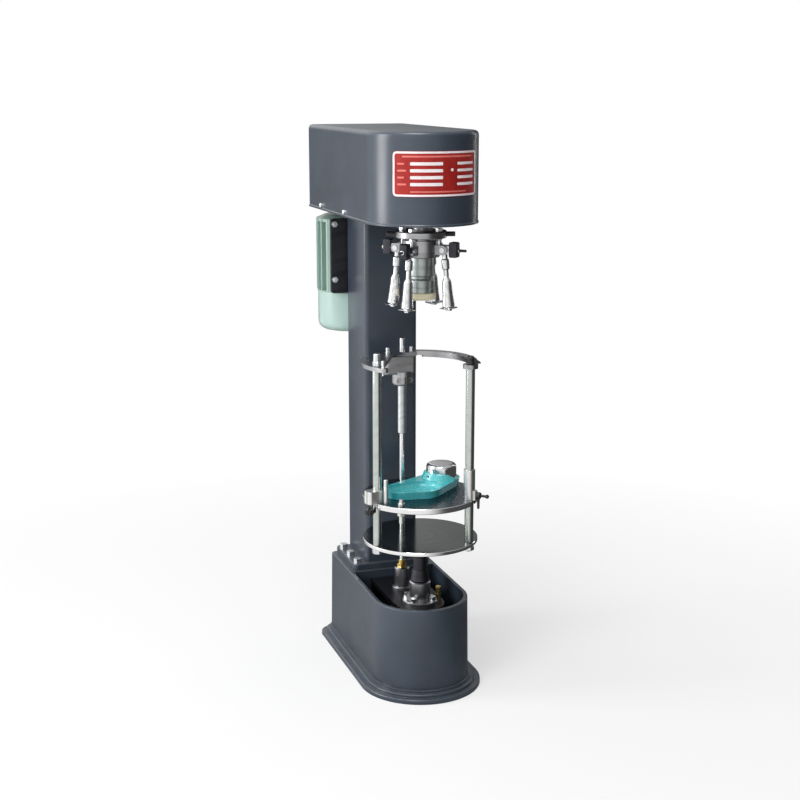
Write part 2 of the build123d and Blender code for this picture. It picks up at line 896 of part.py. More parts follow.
def build_housing():
    """Flanged bearing housing that hangs through the head plate."""
    flange_top = plate_top + housing_flange
    low_shoulder = housing_bottom + 2 + bearing_width
    high_shoulder = housing_top - 2 - bearing_width
    lip = spindle_radius + 3
    points = (
        (lip, housing_bottom),
        (housing_radius - 2, housing_bottom),
        (housing_radius, housing_bottom + 2),
        (housing_radius, plate_top),
        (housing_flange_radius, plate_top),
        (housing_flange_radius, flange_top),
        (housing_radius + 1, flange_top),
        (housing_radius, housing_top),
        (bearing_radius, housing_top),
        (bearing_radius, high_shoulder),
        (bearing_shoulder, high_shoulder),
        (bearing_shoulder, low_shoulder),
        (bearing_radius, low_shoulder),
        (bearing_radius, housing_bottom + 2),
        (lip, housing_bottom + 2),
    )
    return turned(points)


def build_bearings():
    """Two ball bearings, each drawn as its rings and shield in one section."""
    bearings = []
    for low in (housing_bottom + 2, housing_top - 2 - bearing_width):
        bore = spindle_radius + running_gap
        rim = bearing_radius - running_gap
        high = low + bearing_width
        points = (
            (bore, low),
            (bore + 3, low),
            (bore + 3, low + 1),
            (rim - 3, low + 1),
            (rim - 3, low),
            (rim, low),
            (rim, high),
            (rim - 3, high),
            (rim - 3, high - 1),
            (bore + 3, high - 1),
            (bore + 3, high),
            (bore, high),
        )
        bearings.append(turned(points))
    return bearings


def build_spindle():
    """Hollow spindle with a wide bore for the return spring at its lower end."""
    bore = press_rod_radius + running_gap
    points = (
        (spring_bore, spindle_bottom),
        (spindle_radius, spindle_bottom),
        (spindle_radius, spindle_top - 1),
        (spindle_radius - 1, spindle_top),
        (bore, spindle_top),
        (bore, spring_top),
        (spring_bore, spring_top),
    )
    return turned(points)


def polar(radius, angle):
    """Point in plan at a radius and an angle in degrees."""
    turn = math.radians(angle)
    return radius * math.cos(turn), radius * math.sin(turn)


def build_ring():
    """Collar ring on the spindle, drilled for the stop bolts and the side screws."""
    bore = spindle_radius + running_gap
    points = (
        (bore, ring_bottom),
        (ring_radius - 1.5, ring_bottom),
        (ring_radius, ring_bottom + 1.5),
        (ring_radius, ring_top - 1.5),
        (ring_radius - 1.5, ring_top),
        (bore, ring_top),
    )
    ring = turned(points)
    for angle in lever_angles:
        x, y = polar(stop_bolt_circle, angle)
        ring -= disc(stop_bolt_radius + running_gap, ring_bottom - 1, ring_top + 1, x, y)
    middle = ring_bottom + ring_thickness / 2
    for angle in ring_screw_angles:
        place = Rot(0, 0, angle) * Pos(ring_radius, 0, middle) * Rot(0, 90, 0)
        ring -= place * Cylinder(ring_screw_shank + running_gap, 2 * ring_screw_depth + 2)
    return ring


def build_ring_screws():
    """Black screws in the side of the collar ring."""
    screws = []
    length = ring_screw_end - ring_radius
    middle = ring_bottom + ring_thickness / 2
    for angle in ring_screw_angles:
        head = extrude(Circle(ring_screw_radius), length)
        head = chamfer(head.edges().group_by(Axis.Z)[-1], 0.8)
        screw = head + disc(ring_screw_shank, -ring_screw_depth, 0)
        screws.append(Rot(0, 0, angle) * Pos(ring_radius, 0, middle) * Rot(0, 90, 0) * screw)
    return screws


def build_stop_bolts():
    """Bolts through the ring that limit how far the levers close."""
    bolts = []
    for angle in lever_angles:
        x, y = polar(stop_bolt_circle, angle)
        body = hexagon(11, ring_top, ring_top + 5, x, y)
        body += disc(stop_bolt_radius, stop_bolt_tip, ring_top, x, y)
        body += hexagon(8.6, ring_bottom - 3.5, ring_bottom, x, y)
        bolts.append(body)
    return bolts


def build_carrier():
    """Slotted hub with a pair of ears for each lever."""
    body = disc(carrier_radius, carrier_bottom, carrier_top) + disc(carrier_neck, carrier_top, ring_bottom)
    body = chamfer(body.faces().sort_by(Axis.Z)[0].outer_wire().edges(), 1.5)
    half = hub_width / 2 + side_gap + ear_thickness
    low = pivot_z - ear_radius
    block = Box(pivot_radius - 24, 2 * half, 2 * ear_radius)
    lug = Pos((pivot_radius + 24) / 2, 0, low + ear_radius) * block
    lug += Pos(pivot_radius, 0, pivot_z) * Rot(90, 0, 0) * Cylinder(ear_radius, 2 * half)
    slot_height = carrier_top - carrier_web - carrier_bottom
    slot = Pos(pivot_radius + 5, 0, carrier_bottom + slot_height / 2) * Box(
        2 * (pivot_radius - carrier_bore) + 14, hub_width + 2 * side_gap, slot_height
    )
    hole = Pos(pivot_radius, 0, pivot_z) * Rot(90, 0, 0) * Cylinder(
        pivot_pin_radius + running_gap, 2 * half + 2
    )
    for angle in lever_angles:
        body += Rot(0, 0, angle) * lug
    for angle in lever_angles:
        body -= Rot(0, 0, angle) * (slot + hole)
        x, y = polar(stop_bolt_circle, angle)
        body -= disc(stop_bolt_radius + running_gap, carrier_top - carrier_web - 1, carrier_top + 1, x, y)
    body -= disc(carrier_bore, carrier_bottom - 1, spindle_bottom - 1)
    body -= disc(spring_bore, spindle_bottom - 2, spindle_bottom + 1)
    body -= disc(spindle_radius + running_gap, spindle_bottom, ring_bottom + 1)
    return body


def build_pivot_pins():
    """Headed pins that carry the levers between the carrier's ears."""
    pins = []
    half = hub_width / 2 + side_gap + ear_thickness
    for angle in lever_angles:
        pin = Cylinder(pivot_pin_radius, 2 * half + 3)
        for side in (-1, 1):
            pin += Pos(0, 0, side * (half + 1)) * Cylinder(pivot_pin_radius + 1.5, 2)
        pins.append(Rot(0, 0, angle) * Pos(pivot_radius, 0, pivot_z) * Rot(90, 0, 0) * pin)
    return pins


def leg_frame():
    """Frame at a lever's pivot, in the plane of angle 0, whose -Z runs down its leg."""
    return Pos(pivot_radius, 0, pivot_z) * Rot(0, -leg_lean, 0)


def build_leg():
    """Turned leg of a lever: neck, knuckle, waist, flared bell and riveted axle."""
    end = -leg_length
    tip = end - roller_thickness - 2 * side_gap
    waist = Polyline(
        (0, -2), (4.4, -2), (4.4, -15), (6.6, -17), (6.6, -31), (4.2, -34), (4.2, -45)
    )
    flare = Spline((4.2, -45), (7.2, -52), (8.9, -75), (10.5, end), tangents=((1, -0.4), (0.1, -1)))
    foot = Polyline(
        (10.5, end),
        (9.5, end - 0.01),
        (axle_radius, end - 0.01),
        (axle_radius, tip),
        (axle_head, tip),
        (axle_head, tip - axle_head_height + 1),
        (axle_head - 1, tip - axle_head_height),
        (0, tip - axle_head_height),
        (0, -2),
    )
    outline = make_face(Plane.XZ * (waist + flare + foot))
    return leg_frame() * revolve(outline, Axis.Z)


def build_lever(angle):
    """One closing lever: hub, finger, outer block and leg."""
    lever = Pos(pivot_radius, 0, pivot_z) * Rot(90, 0, 0) * Cylinder(hub_radius, hub_width)
    finger_length = pivot_radius - finger_end
    finger = Pos(finger_end + finger_length / 2, 0, pivot_z)
    lever += finger * Box(finger_length, finger_width, 2 * finger_tip)
    lever += Pos(finger_end, 0, pivot_z) * Rot(90, 0, 0) * Cylinder(finger_tip, finger_width)
    web_end = block_inner + 2
    web = Pos((pivot_radius + web_end) / 2, 0, pivot_z)
    lever += web * Box(web_end - pivot_radius, hub_width, 2 * hub_radius - 1)
    block = Box(block_outer - block_inner, block_width, block_height)
    block = fillet(block.edges().filter_by(Axis.Y), block_round)
    block_z = pivot_z + 1
    lever += Pos((block_inner + block_outer) / 2, 0, block_z) * block
    lever += build_leg()
    lever -= Pos(pivot_radius, 0, pivot_z) * Rot(90, 0, 0) * Cylinder(
        pivot_pin_radius + running_gap, hub_width + 2
    )
    lever -= Pos(block_outer, 0, pivot_z) * Rot(0, 90, 0) * Cylinder(
        lever_stud_radius + running_gap, 2 * (block_outer - block_inner - 2)
    )
    return Rot(0, 0, angle) * lever


def build_lever_stud(angle):
    """Black adjusting stud in a lever's outer block."""
    start = block_inner + 2.5
    stud = Pos(start, 0, pivot_z) * Rot(0, 90, 0) * extrude(
        Circle(lever_stud_radius), lever_stud_end - start
    )
    stud = chamfer(stud.edges().group_by(Axis.X)[-1], 0.6)
    return Rot(0, 0, angle) * stud


def build_roller(angle):
    """Thin closing roller with a hub and a sharpened edge."""
    bore = axle_radius + running_gap
    top = -leg_length - side_gap
    low = top - roller_thickness
    middle = (top + low) / 2
    thin = 0.9
    points = (
        (bore, low),
        (roller_hub, low),
        (roller_hub, middle - thin),
        (roller_radius - 3, middle - thin),
        (roller_radius, middle - 0.3),
        (roller_radius, middle + 0.3),
        (roller_radius - 3, middle + thin),
        (roller_hub, middle + thin),
        (roller_hub, top),
        (bore, top),
    )
    return Rot(0, 0, angle) * leg_frame() * turned(points)


def build_press_rod():
    """Press rod with the grooved spool that the levers' fingers ride in."""
    inner = press_rod_radius
    points = (
        (0, spool_bottom - 30),
        (inner, spool_bottom - 30),
        (inner, spool_bottom),
        (spool_radius, spool_bottom),
        (spool_radius, pivot_z - groove_half),
        (groove_floor, pivot_z - groove_half),
        (groove_floor, pivot_z + groove_half),
        (spool_radius, pivot_z + groove_half),
        (spool_radius, spool_top),
        (inner, spool_top),
        (inner, press_rod_top - 1),
        (inner - 1, press_rod_top),
        (0, press_rod_top),
    )
    return turned(points)


def build_press_nose():
    """Stepped steel nose screwed on the lower end of the press rod."""
    bore = press_rod_radius + running_gap
    points = (
        (0, pad_top),
        (nose_low_radius - 1.5, pad_top),
        (nose_low_radius, pad_top + 1.5),
        (nose_low_radius, nose_step_z - 2),
        (nose_low_radius - 2, nose_step_z),
        (nose_top_radius - 3, nose_step_z),
        (nose_top_radius - 3, nose_step_z + 3),
        (nose_top_radius, nose_step_z + 5),
        (nose_top_radius, spool_bottom - 2),
        (nose_top_radius - 2, spool_bottom),
        (bore, spool_bottom),
        (bore, spool_bottom - 30 - seat_gap),
        (0, spool_bottom - 30 - seat_gap),
    )
    return turned(points)


def build_press_pad():
    """Cream plastic head that presses on the cap, dished below."""
    points = (
        (0, pad_bottom + pad_dish),
        (pad_dish_radius - 2, pad_bottom + pad_dish),
        (pad_dish_radius, pad_bottom),
        (pad_radius - 3, pad_bottom),
        (pad_radius, pad_bottom + 3),
        (pad_radius, pad_top - 1.5),
        (pad_radius - 1.5, pad_top),
        (0, pad_top),
    )
    return turned(points)


def build_spring():
    """Return spring between the spool and the shoulder in the spindle."""
    wire_radius = spring_wire / 2
    low = spool_top + wire_radius + 0.1
    high = spring_top - wire_radius - 0.1
    coil_radius = (press_rod_radius + spring_bore) / 2
    path = Helix((high - low) / spring_turns, high - low, coil_radius)
    section = Plane(origin=path @ 0, z_dir=path % 0) * Circle(wire_radius)
    return Pos(0, 0, low) * sweep(section, path=path, is_frenet=True)


def build_lower_disc():
    """Lower disc of the carriage with its flanged hub below."""
    low = lower_disc_top - lower_disc
    bore = shaft_radius + running_gap
    points = (
        (0, lower_disc_top),
        (0, low),
        (bore, low),
        (bore, low - disc_hub_height),
        (disc_hub_neck, low - disc_hub_height),
        (disc_hub_neck, low - 8),
        (disc_hub_radius, low - 6),
        (disc_hub_radius, low),
        (disc_radius - 0.8, low),
        (disc_radius, low + 0.8),
        (disc_radius, lower_disc_top - 0.8),
        (disc_radius - 0.8, lower_disc_top),
    )
    body = turned(points)
    body -= disc(rod_radius + 1, low - 1, lower_disc_top + 1, *rod_place)
    for x, y in (left_pillar, right_pillar):
        body -= disc(thread_radius + running_gap, low - 1, lower_disc_top + 1, x, y)
    return body


def build_lift_shaft():
    """Lift shaft with its rubber buffer collar and the cross pin of the lever."""
    buffer_bottom = bush_top + seat_gap
    buffer_top = buffer_bottom + buffer_height
    points = (
        (0, shaft_bottom),
        (shaft_radius - 1, shaft_bottom),
        (shaft_radius, shaft_bottom + 1),
        (shaft_radius, buffer_bottom),
        (buffer_radius - 1, buffer_bottom),
        (buffer_radius, buffer_bottom + 2),
        (buffer_radius - 4, buffer_top),
        (shaft_radius, buffer_top),
        (shaft_radius, lower_disc_top - lower_disc),
        (0, lower_disc_top - lower_disc),
    )
    shaft = turned(points)
    return shaft + Pos(0, 0, pin_height) * Rot(0, 90, 0) * Cylinder(pin_radius, 2 * pin_half_length)


def build_pillars():
    """Two pillars of the carriage with threaded ends."""
    pillars = []
    low = lower_disc_top - lower_disc - nut_height - 2
    for x, y in (left_pillar, right_pillar):
        body = disc(pillar_radius, lower_disc_top, pillar_top, x, y)
        body += disc(thread_radius, low, lower_disc_top, x, y)
        body += disc(thread_radius, pillar_top, pillar_top + arm_thickness + 12, x, y)
        pillars.append(body)
    return pillars


def build_carriage_nuts():
    """Nuts, studs and screws that hold the carriage together."""
    seat = lower_disc_top - lower_disc
    pieces = []
    for x, y in (left_pillar, right_pillar):
        nut = hexagon(nut_flats, seat - nut_height, seat, x, y)
        pieces.append(nut - disc(thread_radius + running_gap, seat - nut_height - 1, seat + 1, x, y))
    top = pillar_top + arm_thickness
    x, y = left_pillar
    cap = hexagon(nut_flats - 3, top, top + 8, x, y) + disc(6, top + 8, cap_nut_top, x, y)
    cap = fillet(top_edges(cap), 5)
    pieces.append(cap - disc(thread_radius + running_gap, top - 1, top + 12 + seat_gap, x, y))
    x, y = rod_place
    stud = disc(rear_stud_radius, top, rear_stud_top, x, y)
    pieces.append(fillet(top_edges(stud), 3.5))
    for place in clamp_bolt_places():
        pieces.append(dome_bolt(3.6, top, 9, clamp_bolt, pillar_top, *place))
    horn_stud = horn_stud_radius, top, horn_stud_height, clamp_bolt, pillar_top
    pieces.append(dome_bolt(*horn_stud, *horn_stud_place()))
    x, y = arm_screw_place()
    screw = disc(arm_screw, pillar_top - 6, top, x, y) + disc(4, top, top + 3, x, y)
    pieces.append(screw)
    return pieces


def clamp_bolt_places():
    """Two bolts beside the rear stud that hold the arms on the clamp."""
    y = rod_place[1]
    return ((clamp_left + clamp_bolt_in_left, y), (clamp_right - clamp_bolt_in_right, y))


def arm_screw_place():
    """Screw near the right pillar's end of the right arm."""
    return polar(0.5 * (arm_inner + arm_outer), arm_screw_angle)


def horn_stud_place():
    """Stud at the front end of the left arm's horn."""
    return polar(0.5 * (horn_inner + horn_outer), horn_stud_angle)


def arc_band(inner, outer, start, end):
    """Flat band along a circle about the spindle's axis, with round ends."""
    middle = 0.5 * (inner + outer)
    path = CenterArc((0, 0), middle, start, end - start)
    return SlotArc(path, outer - inner)


def build_left_arm():
    """Arm from the rear clamp to the left pillar, with a curved horn round the pillar."""
    bolt_place = clamp_bolt_places()[0]
    bar = hull(((*left_pillar, left_arm_half), (*bolt_place, left_arm_half)))
    plan = bar + arc_band(horn_inner, horn_outer, *horn_angles)
    body = Pos(0, 0, pillar_top) * extrude(plan, arm_thickness)
    body -= arm_hole(thread_radius, left_pillar)
    body -= arm_hole(clamp_bolt, bolt_place)
    return body - arm_hole(clamp_bolt, horn_stud_place())


def arm_hole(radius, place):
    """Cutter for a hole through an arm."""
    return disc(radius + running_gap, pillar_top - arm_thickness, pillar_top + 2 * arm_thickness, *place)


def build_right_arm():
    """Curved arm from the rear clamp round to the right pillar, ribbed below, with a wide end."""
    bolt_place = clamp_bolt_places()[1]
    end = math.degrees(math.atan2(right_pillar[1], right_pillar[0]))
    start = math.degrees(math.atan2(bolt_place[1], bolt_place[0]))
    plan = arc_band(arm_inner, arm_outer, end, start)
    plan += Pos(*right_pillar) * Circle(right_boss_radius)
    pad_left = rod_place[0] + rear_stud_radius
    pad_right = clamp_right + seat_gap
    pad = Pos((pad_left + pad_right) / 2, rod_place[1]) * Rectangle(pad_right - pad_left, 20)
    plan += pad
    body = Pos(0, 0, pillar_top) * extrude(plan, arm_thickness)
    rib_start = start - 15
    rib_end = rib_start - arm_rib_share * (start - end)
    rib = arc_band(arm_rib_inner, arm_rib_outer, rib_end, rib_start)
    body += Pos(0, 0, pillar_top - arm_rib_depth) * extrude(rib, arm_rib_depth)
    body -= arm_hole(thread_radius, right_pillar)
    body -= arm_hole(clamp_bolt, bolt_place)
    return body - arm_hole(arm_screw, arm_screw_place())


def build_guide_sleeve():
    """Sleeve that slides on the guide rod."""
    sleeve = disc(sleeve_radius, sleeve_bottom, clamp_top, *rod_place)
    sleeve = chamfer(sleeve.faces().sort_by(Axis.Z)[0].edges(), 1)
    bore_top = rod_top + 12
    return sleeve - disc(rod_radius + running_gap, sleeve_bottom - 1, bore_top, *rod_place)


def build_rear_clamp():
    """Rounded block and split round collar that grip the sleeve under the arms."""
    width = clamp_right - clamp_left
    x = (clamp_left + clamp_right) / 2
    rod_x, y = rod_place
    block_plan = RectangleRounded(width, clamp_depth, clamp_round)
    body = Pos(x, y, clamp_split) * extrude(block_plan, clamp_top - clamp_split)
    body = fillet(body.faces().sort_by(Axis.Z)[0].edges(), 4)
    collar = disc(clamp_collar_radius, clamp_bottom, clamp_split + 5, rod_x, y)
    collar = fillet(collar.faces().sort_by(Axis.Z)[0].edges(), 6)
    body += collar
    body -= disc(sleeve_radius + running_gap, clamp_bottom - 1, clamp_top + 1, rod_x, y)
    for place in clamp_bolt_places():
        body -= disc(clamp_bolt + running_gap, clamp_top - 12, clamp_top + 1, *place)
    slit = Pos(rod_x, y - clamp_collar_radius / 2, (clamp_bottom + clamp_split) / 2 - 2)
    body -= slit * Box(2, clamp_collar_radius, clamp_collar - 4)
    front = y - clamp_depth / 2 + 1
    for z in (clamp_bottom + 11, clamp_split + 14):
        for side in (-1, 1):
            place = Pos(rod_x + side * 11, front, z) * Rot(90, 0, 0)
            body += place * extrude(RegularPolygon(4.2, 6, major_radius=False), 4.5)
    return body


def radial_frame(place):
    """Frame at a pillar whose +X points away from the spindle's axis."""
    x, y = place
    return Pos(x, y, 0) * Rot(0, 0, math.degrees(math.atan2(y, x)))


def build_upper_disc():
    """Bottle table: a thick disc, notched for the pillars and bored for the sleeve."""
    body = disc(disc_radius, upper_disc_top - upper_disc, upper_disc_top)
    body = chamfer(body.edges(), 1)
    room = pillar_radius + 0.4
    low = upper_disc_top - upper_disc - 1
    for place in (left_pillar, right_pillar):
        notch = Circle(room) + Pos(room, 0) * Rectangle(2 * room, 2 * room)
        body -= radial_frame(place) * Pos(0, 0, low) * extrude(notch, upper_disc + 2)
    body -= disc(rod_hole, low, upper_disc_top + 1, *rod_place)
    body -= disc(4 + running_gap, low, upper_disc_top + 1, *front_stud)
    return body


def build_table_fittings():
    """Clamps on the pillars, the short post and the stud through the table."""
    pieces = [build_left_clamp(), build_right_clamp()]
    post = disc(short_post_radius, upper_disc_top, short_post_top, *short_post)
    pieces.append(fillet(top_edges(post), 2.5))
    x, y = front_stud
    low = upper_disc_top - upper_disc
    stud = disc(4, front_stud_bottom, front_stud_top, x, y)
    stud += hexagon(12, low - 7, low, x, y)
    stud += disc(6, upper_disc_top, upper_disc_top + 5, x, y)
    pieces.append(stud)
    return pieces


def build_left_clamp():
    """Split clamp on the left pillar, with a block that reaches past the table's rim."""
    bore = pillar_radius + running_gap
    block = Box(clamp_block_outer, clamp_block_width, clamp_block_height)
    block = fillet(block.edges().filter_by(Axis.Z), 4)
    middle = upper_disc_top + clamp_block_height / 2
    clamp = Pos(clamp_block_outer / 2, 0, middle) * block
    clamp += disc(bore + clamp_block_wall, upper_disc_top, upper_disc_top + clamp_block_height)
    clamp -= Pos(clamp_block_outer - 6, 0, middle) * Box(14, clamp_slit, clamp_block_height + 2)
    clamp -= Pos(knob_reach(), 0, upper_disc_top) * Cylinder(fitting_screw + running_gap, 16)
    clamp -= disc(bore, upper_disc_top - 1, sleeve_top)
    return radial_frame(left_pillar) * clamp


def build_right_clamp():
    """Slim sleeve on the right pillar, with a short lug for the handle's screw."""
    bore = pillar_radius + running_gap
    middle = upper_disc_top + right_lug_height / 2
    lug = Box(right_lug_outer, right_lug_width, right_lug_height)
    clamp = Pos(right_lug_outer / 2, 0, middle) * lug
    clamp += disc(bore + guide_sleeve_wall, upper_disc_top, sleeve_top)
    clamp -= handle_stem_place() * Cylinder(fitting_screw + running_gap, 8)
    clamp -= disc(bore, upper_disc_top - 1, sleeve_top + 1)
    return radial_frame(right_pillar) * clamp


def knob_reach():
    """Distance of the left clamp's knob from the pillar, just outside the disc's rim."""
    return clamp_block_outer - 5.0


def handle_stem_place():
    """Place of the right handle's stem in the frame of the right pillar."""
    return Pos(right_lug_outer, 0, upper_disc_top + right_lug_height / 2) * Rot(0, 90, 0)


def locator_screw_hole():
    """Cutter for the screw hole through the locator's collar into its post."""
    place = Pos(*locator_post, upper_disc_top + locator_screw_height) * Rot(0, 0, locator_screw_angle)
    reach = locator_post_radius + locator_ring
    return place * Pos(reach, 0, 0) * Rot(0, 90, 0) * Cylinder(locator_screw, 28)


def build_locator_post():
    """Round steel post, domed above, that the bottle locator turns on."""
    x, y = locator_post
    post = disc(locator_post_radius, upper_disc_top, upper_disc_top + locator_post_height, x, y)
    post = fillet(top_edges(post), locator_post_round)
    return post - locator_screw_hole()


def locator_lobe_angle():
    """Direction from the locator's post to the middle of its dish, in degrees."""
    x, y = locator_post
    lobe_x, lobe_y, _ = locator_lobes[0]
    return math.degrees(math.atan2(lobe_y - y, lobe_x - x))


def build_locator_collar():
    """Flared collar round the post, cut off by a plane that slopes down behind."""
    inner = locator_post_radius - 1
    outer = locator_post_radius + running_gap + locator_ring
    low = locator_height - dish_depth
    foot = outer + locator_flare
    sides = Polyline((inner, locator_collar), (inner, 0), (foot, 0), (foot, low))
    flare = Spline(
        (foot, low), (outer + 2, low + 9), (outer - 1.5, locator_collar - 2), tangents=((-1, 0.1), (-0.1, 1))
    )
    crown = Polyline((outer - 1.5, locator_collar - 2), (outer - 3, locator_collar), (inner, locator_collar))
    collar = revolve(make_face(Plane.XZ * (sides + flare + crown)), Axis.Z)
    size = 4 * outer
    slope = Pos(0, 0, locator_height + locator_shoulder) * Rot(0, 0, locator_lobe_angle())
    collar -= slope * Rot(0, -locator_collar_slope, 0) * Pos(0, 0, size / 2) * Box(size, size, size)
    return Pos(*locator_post, 0) * collar


def build_locator():
    """Moulded bottle locator: a dished tongue with an open mouth and a collar round the post."""
    x, y = locator_post
    ring = locator_post_radius + running_gap + locator_ring
    outline = hull(((x, y, ring),) + locator_lobes)
    body = Pos(0, 0, locator_height) * extrude(outline, -locator_height, taper=locator_draft)
    dish_circles = []
    for lobe_x, lobe_y, lobe_radius in locator_lobes:
        dish_circles.append((lobe_x, lobe_y, lobe_radius - dish_rim))
    dish = Pos(0, 0, locator_height - dish_depth) * extrude(hull(dish_circles), dish_depth + 1)
    dish = fillet(dish.faces().sort_by(Axis.Z)[0].edges(), dish_round)
    body -= dish
    mouth_x, mouth_y, mouth_lobe = locator_lobes[0]
    mouth_z = locator_height + mouth_radius - mouth_depth
    body -= Pos(mouth_x - mouth_lobe, mouth_y, mouth_z) * Rot(0, 90, 0) * Cylinder(mouth_radius, mouth_lobe)
    body += build_locator_collar() & extrude(outline, locator_collar)
    body -= disc(locator_post_radius + running_gap, -1, locator_collar + 1, x, y)
    return Pos(0, 0, upper_disc_top + seat_gap) * body - locator_screw_hole()


def build_knob():
    """Black knob with a screw, under the left clamp block."""
    top = upper_disc_top - upper_disc - seat_gap
    knob = disc(knob_radius, top - knob_height, top)
    knob = fillet(knob.edges(), 1.5)
    for number in range(8):
        notch = Pos(knob_radius + 1, 0, top - knob_height / 2) * Cylinder(2, knob_height + 2)
        knob -= Rot(0, 0, 45 * number) * notch
    knob += disc(fitting_screw, top, upper_disc_top + 7)
    return radial_frame(left_pillar) * Pos(knob_reach(), 0, 0) * knob


def build_handle():
    """Black cross handle on the right clamp: a hub, a ball on a stem and a tapered bar."""
    hub = Pos(0, 0, seat_gap) * extrude(Circle(handle_hub_radius), handle_hub)
    hub = fillet(hub.faces().sort_by(Axis.Z)[-1].edges(), 2)
    handle = hub + Pos(0, 0, -3.5) * extrude(Circle(fitting_screw), 4)
    handle += extrude(Circle(handle_stem), handle_reach)
    handle += Pos(0, 0, handle_reach) * Sphere(handle_ball)
    bar = Cone(
        handle_end, handle_stem, handle_length, align=(Align.CENTER, Align.CENTER, Align.MIN)
    )
    bar += Pos(0, 0, handle_length) * Sphere(handle_stem)
    handle += Pos(0, 0, handle_hub / 2) * Rot(0, 90, 0) * bar
    return radial_frame(right_pillar) * handle_stem_place() * handle


def build_wing():
    """Black wing knob on the right pillar: a base, a neck, a domed cap and one wing."""
    seat = pillar_top + arm_thickness + seat_gap
    points = (
        (0, 0),
        (wing_base_radius, 0),
        (wing_base_radius, wing_base - 1),
        (wing_neck_radius, wing_base),
        (wing_neck_radius, wing_cap_bottom),
        (wing_cap_radius, wing_cap_bottom + 1),
        (wing_cap_radius, wing_height - 2),
        (wing_cap_radius - 2, wing_height),
        (0, wing_height),
    )
    wing_plan = Plane.XZ * make_face(
        Polyline(
            (0, 0.5),
            (wing_reach, 0.5),
            (wing_reach, wing_base - 1),
            (wing_cap_radius - 1, wing_height - 3),
            (0, wing_height - 3),
            close=True,
        )
    )
    body = turned(points) + extrude(wing_plan, wing_half, both=True)
    body -= disc(thread_radius + running_gap, -1, wing_bore)
    return Pos(*right_pillar, seat) * Rot(0, 0, -10) * body


def all_nodes():
    """Every node of the machine, by name."""
    nodes = {
        "base_foot": build_foot(),
        "base_casing": build_casing(),
        "guide_bracket": build_bracket(),
        "lift_bush": build_bush(),
        "base_bolts": build_base_bolts(),
        "brass_fittings": build_brass(),
        "guide_rod": build_guide_rod(),
        "column": build_column(),
        "column_bolts": build_column_bolts(),
        "head_plate": build_head_plate(),
        "head_cover": build_cover(),
        "cover_screws": build_cover_screws(),
        "bearing_housing": build_housing(),
        "spindle_bearings": build_bearings(),
        "drive_belt": build_belt(),
        "motor_plate": build_motor_plate(),
        "motor_housing": build_motor(),
        "fan_cowl": build_cowl(),
        "motor_shaft": build_rotor(),
        "motor_pulley": build_motor_pulley(),
        "cooling_fan": build_fan(),
        "spindle_shaft": build_spindle(),
        "spindle_pulley": build_spindle_pulley(),
        "collar_ring": build_ring(),
        "ring_screws": build_ring_screws(),
        "stop_bolts": build_stop_bolts(),
        "lever_carrier": build_carrier(),
        "pivot_pins": build_pivot_pins(),
        "press_rod": build_press_rod(),
        "press_nose": build_press_nose(),
        "press_pad": build_press_pad(),
        "press_spring": build_spring(),
        "lower_disc": build_lower_disc(),
        "lift_shaft": build_lift_shaft(),
        "pillars": build_pillars(),
        "carriage_nuts": build_carriage_nuts(),
        "guide_sleeve": build_guide_sleeve(),
        "rear_clamp": build_rear_clamp(),
        "left_arm": build_left_arm(),
        "right_arm": build_right_arm(),
        "lift_lever": build_lift_lever(),
        "upper_disc": build_upper_disc(),
        "table_fittings": build_table_fittings(),
        "locator_post": build_locator_post(),
        "bottle_locator": build_locator(),
        "clamp_knob": build_knob(),
        "clamp_handle": build_handle(),
        "wing_knob": build_wing(),
    }
    for number, angle in enumerate(lever_angles, start=1):
        nodes[f"lever_{number}"] = build_lever(angle)
        nodes[f"lever_stud_{number}"] = build_lever_stud(angle)
        nodes[f"roller_{number}"] = build_roller(angle)
    return nodes


def write_nodes():
    """Write each node as one STEP file."""
    os.makedirs("parts", exist_ok=True)
    for name, shape in all_nodes().items():
        pieces = shape if isinstance(shape, list) else [shape]
        solids = []
        for piece in pieces:
            solids += piece.solids()
        whole = Compound(children=solids) if len(solids) > 1 else solids[0]
        whole.label = name
        export_step(whole, f"parts/{name}.step")


write_nodes()
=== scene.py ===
"""Looks of a bench capping machine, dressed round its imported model.

Lengths are metres in the model's own frame: +Z up, the spindle's axis through the origin.
New pieces are surfaces worked out with numpy, finishes are node materials that share a few
node groups, and every piece rides on the body that carries it.
"""

import json
import logging
import math
from dataclasses import dataclass, field
from enum import Enum
from typing import Sequence

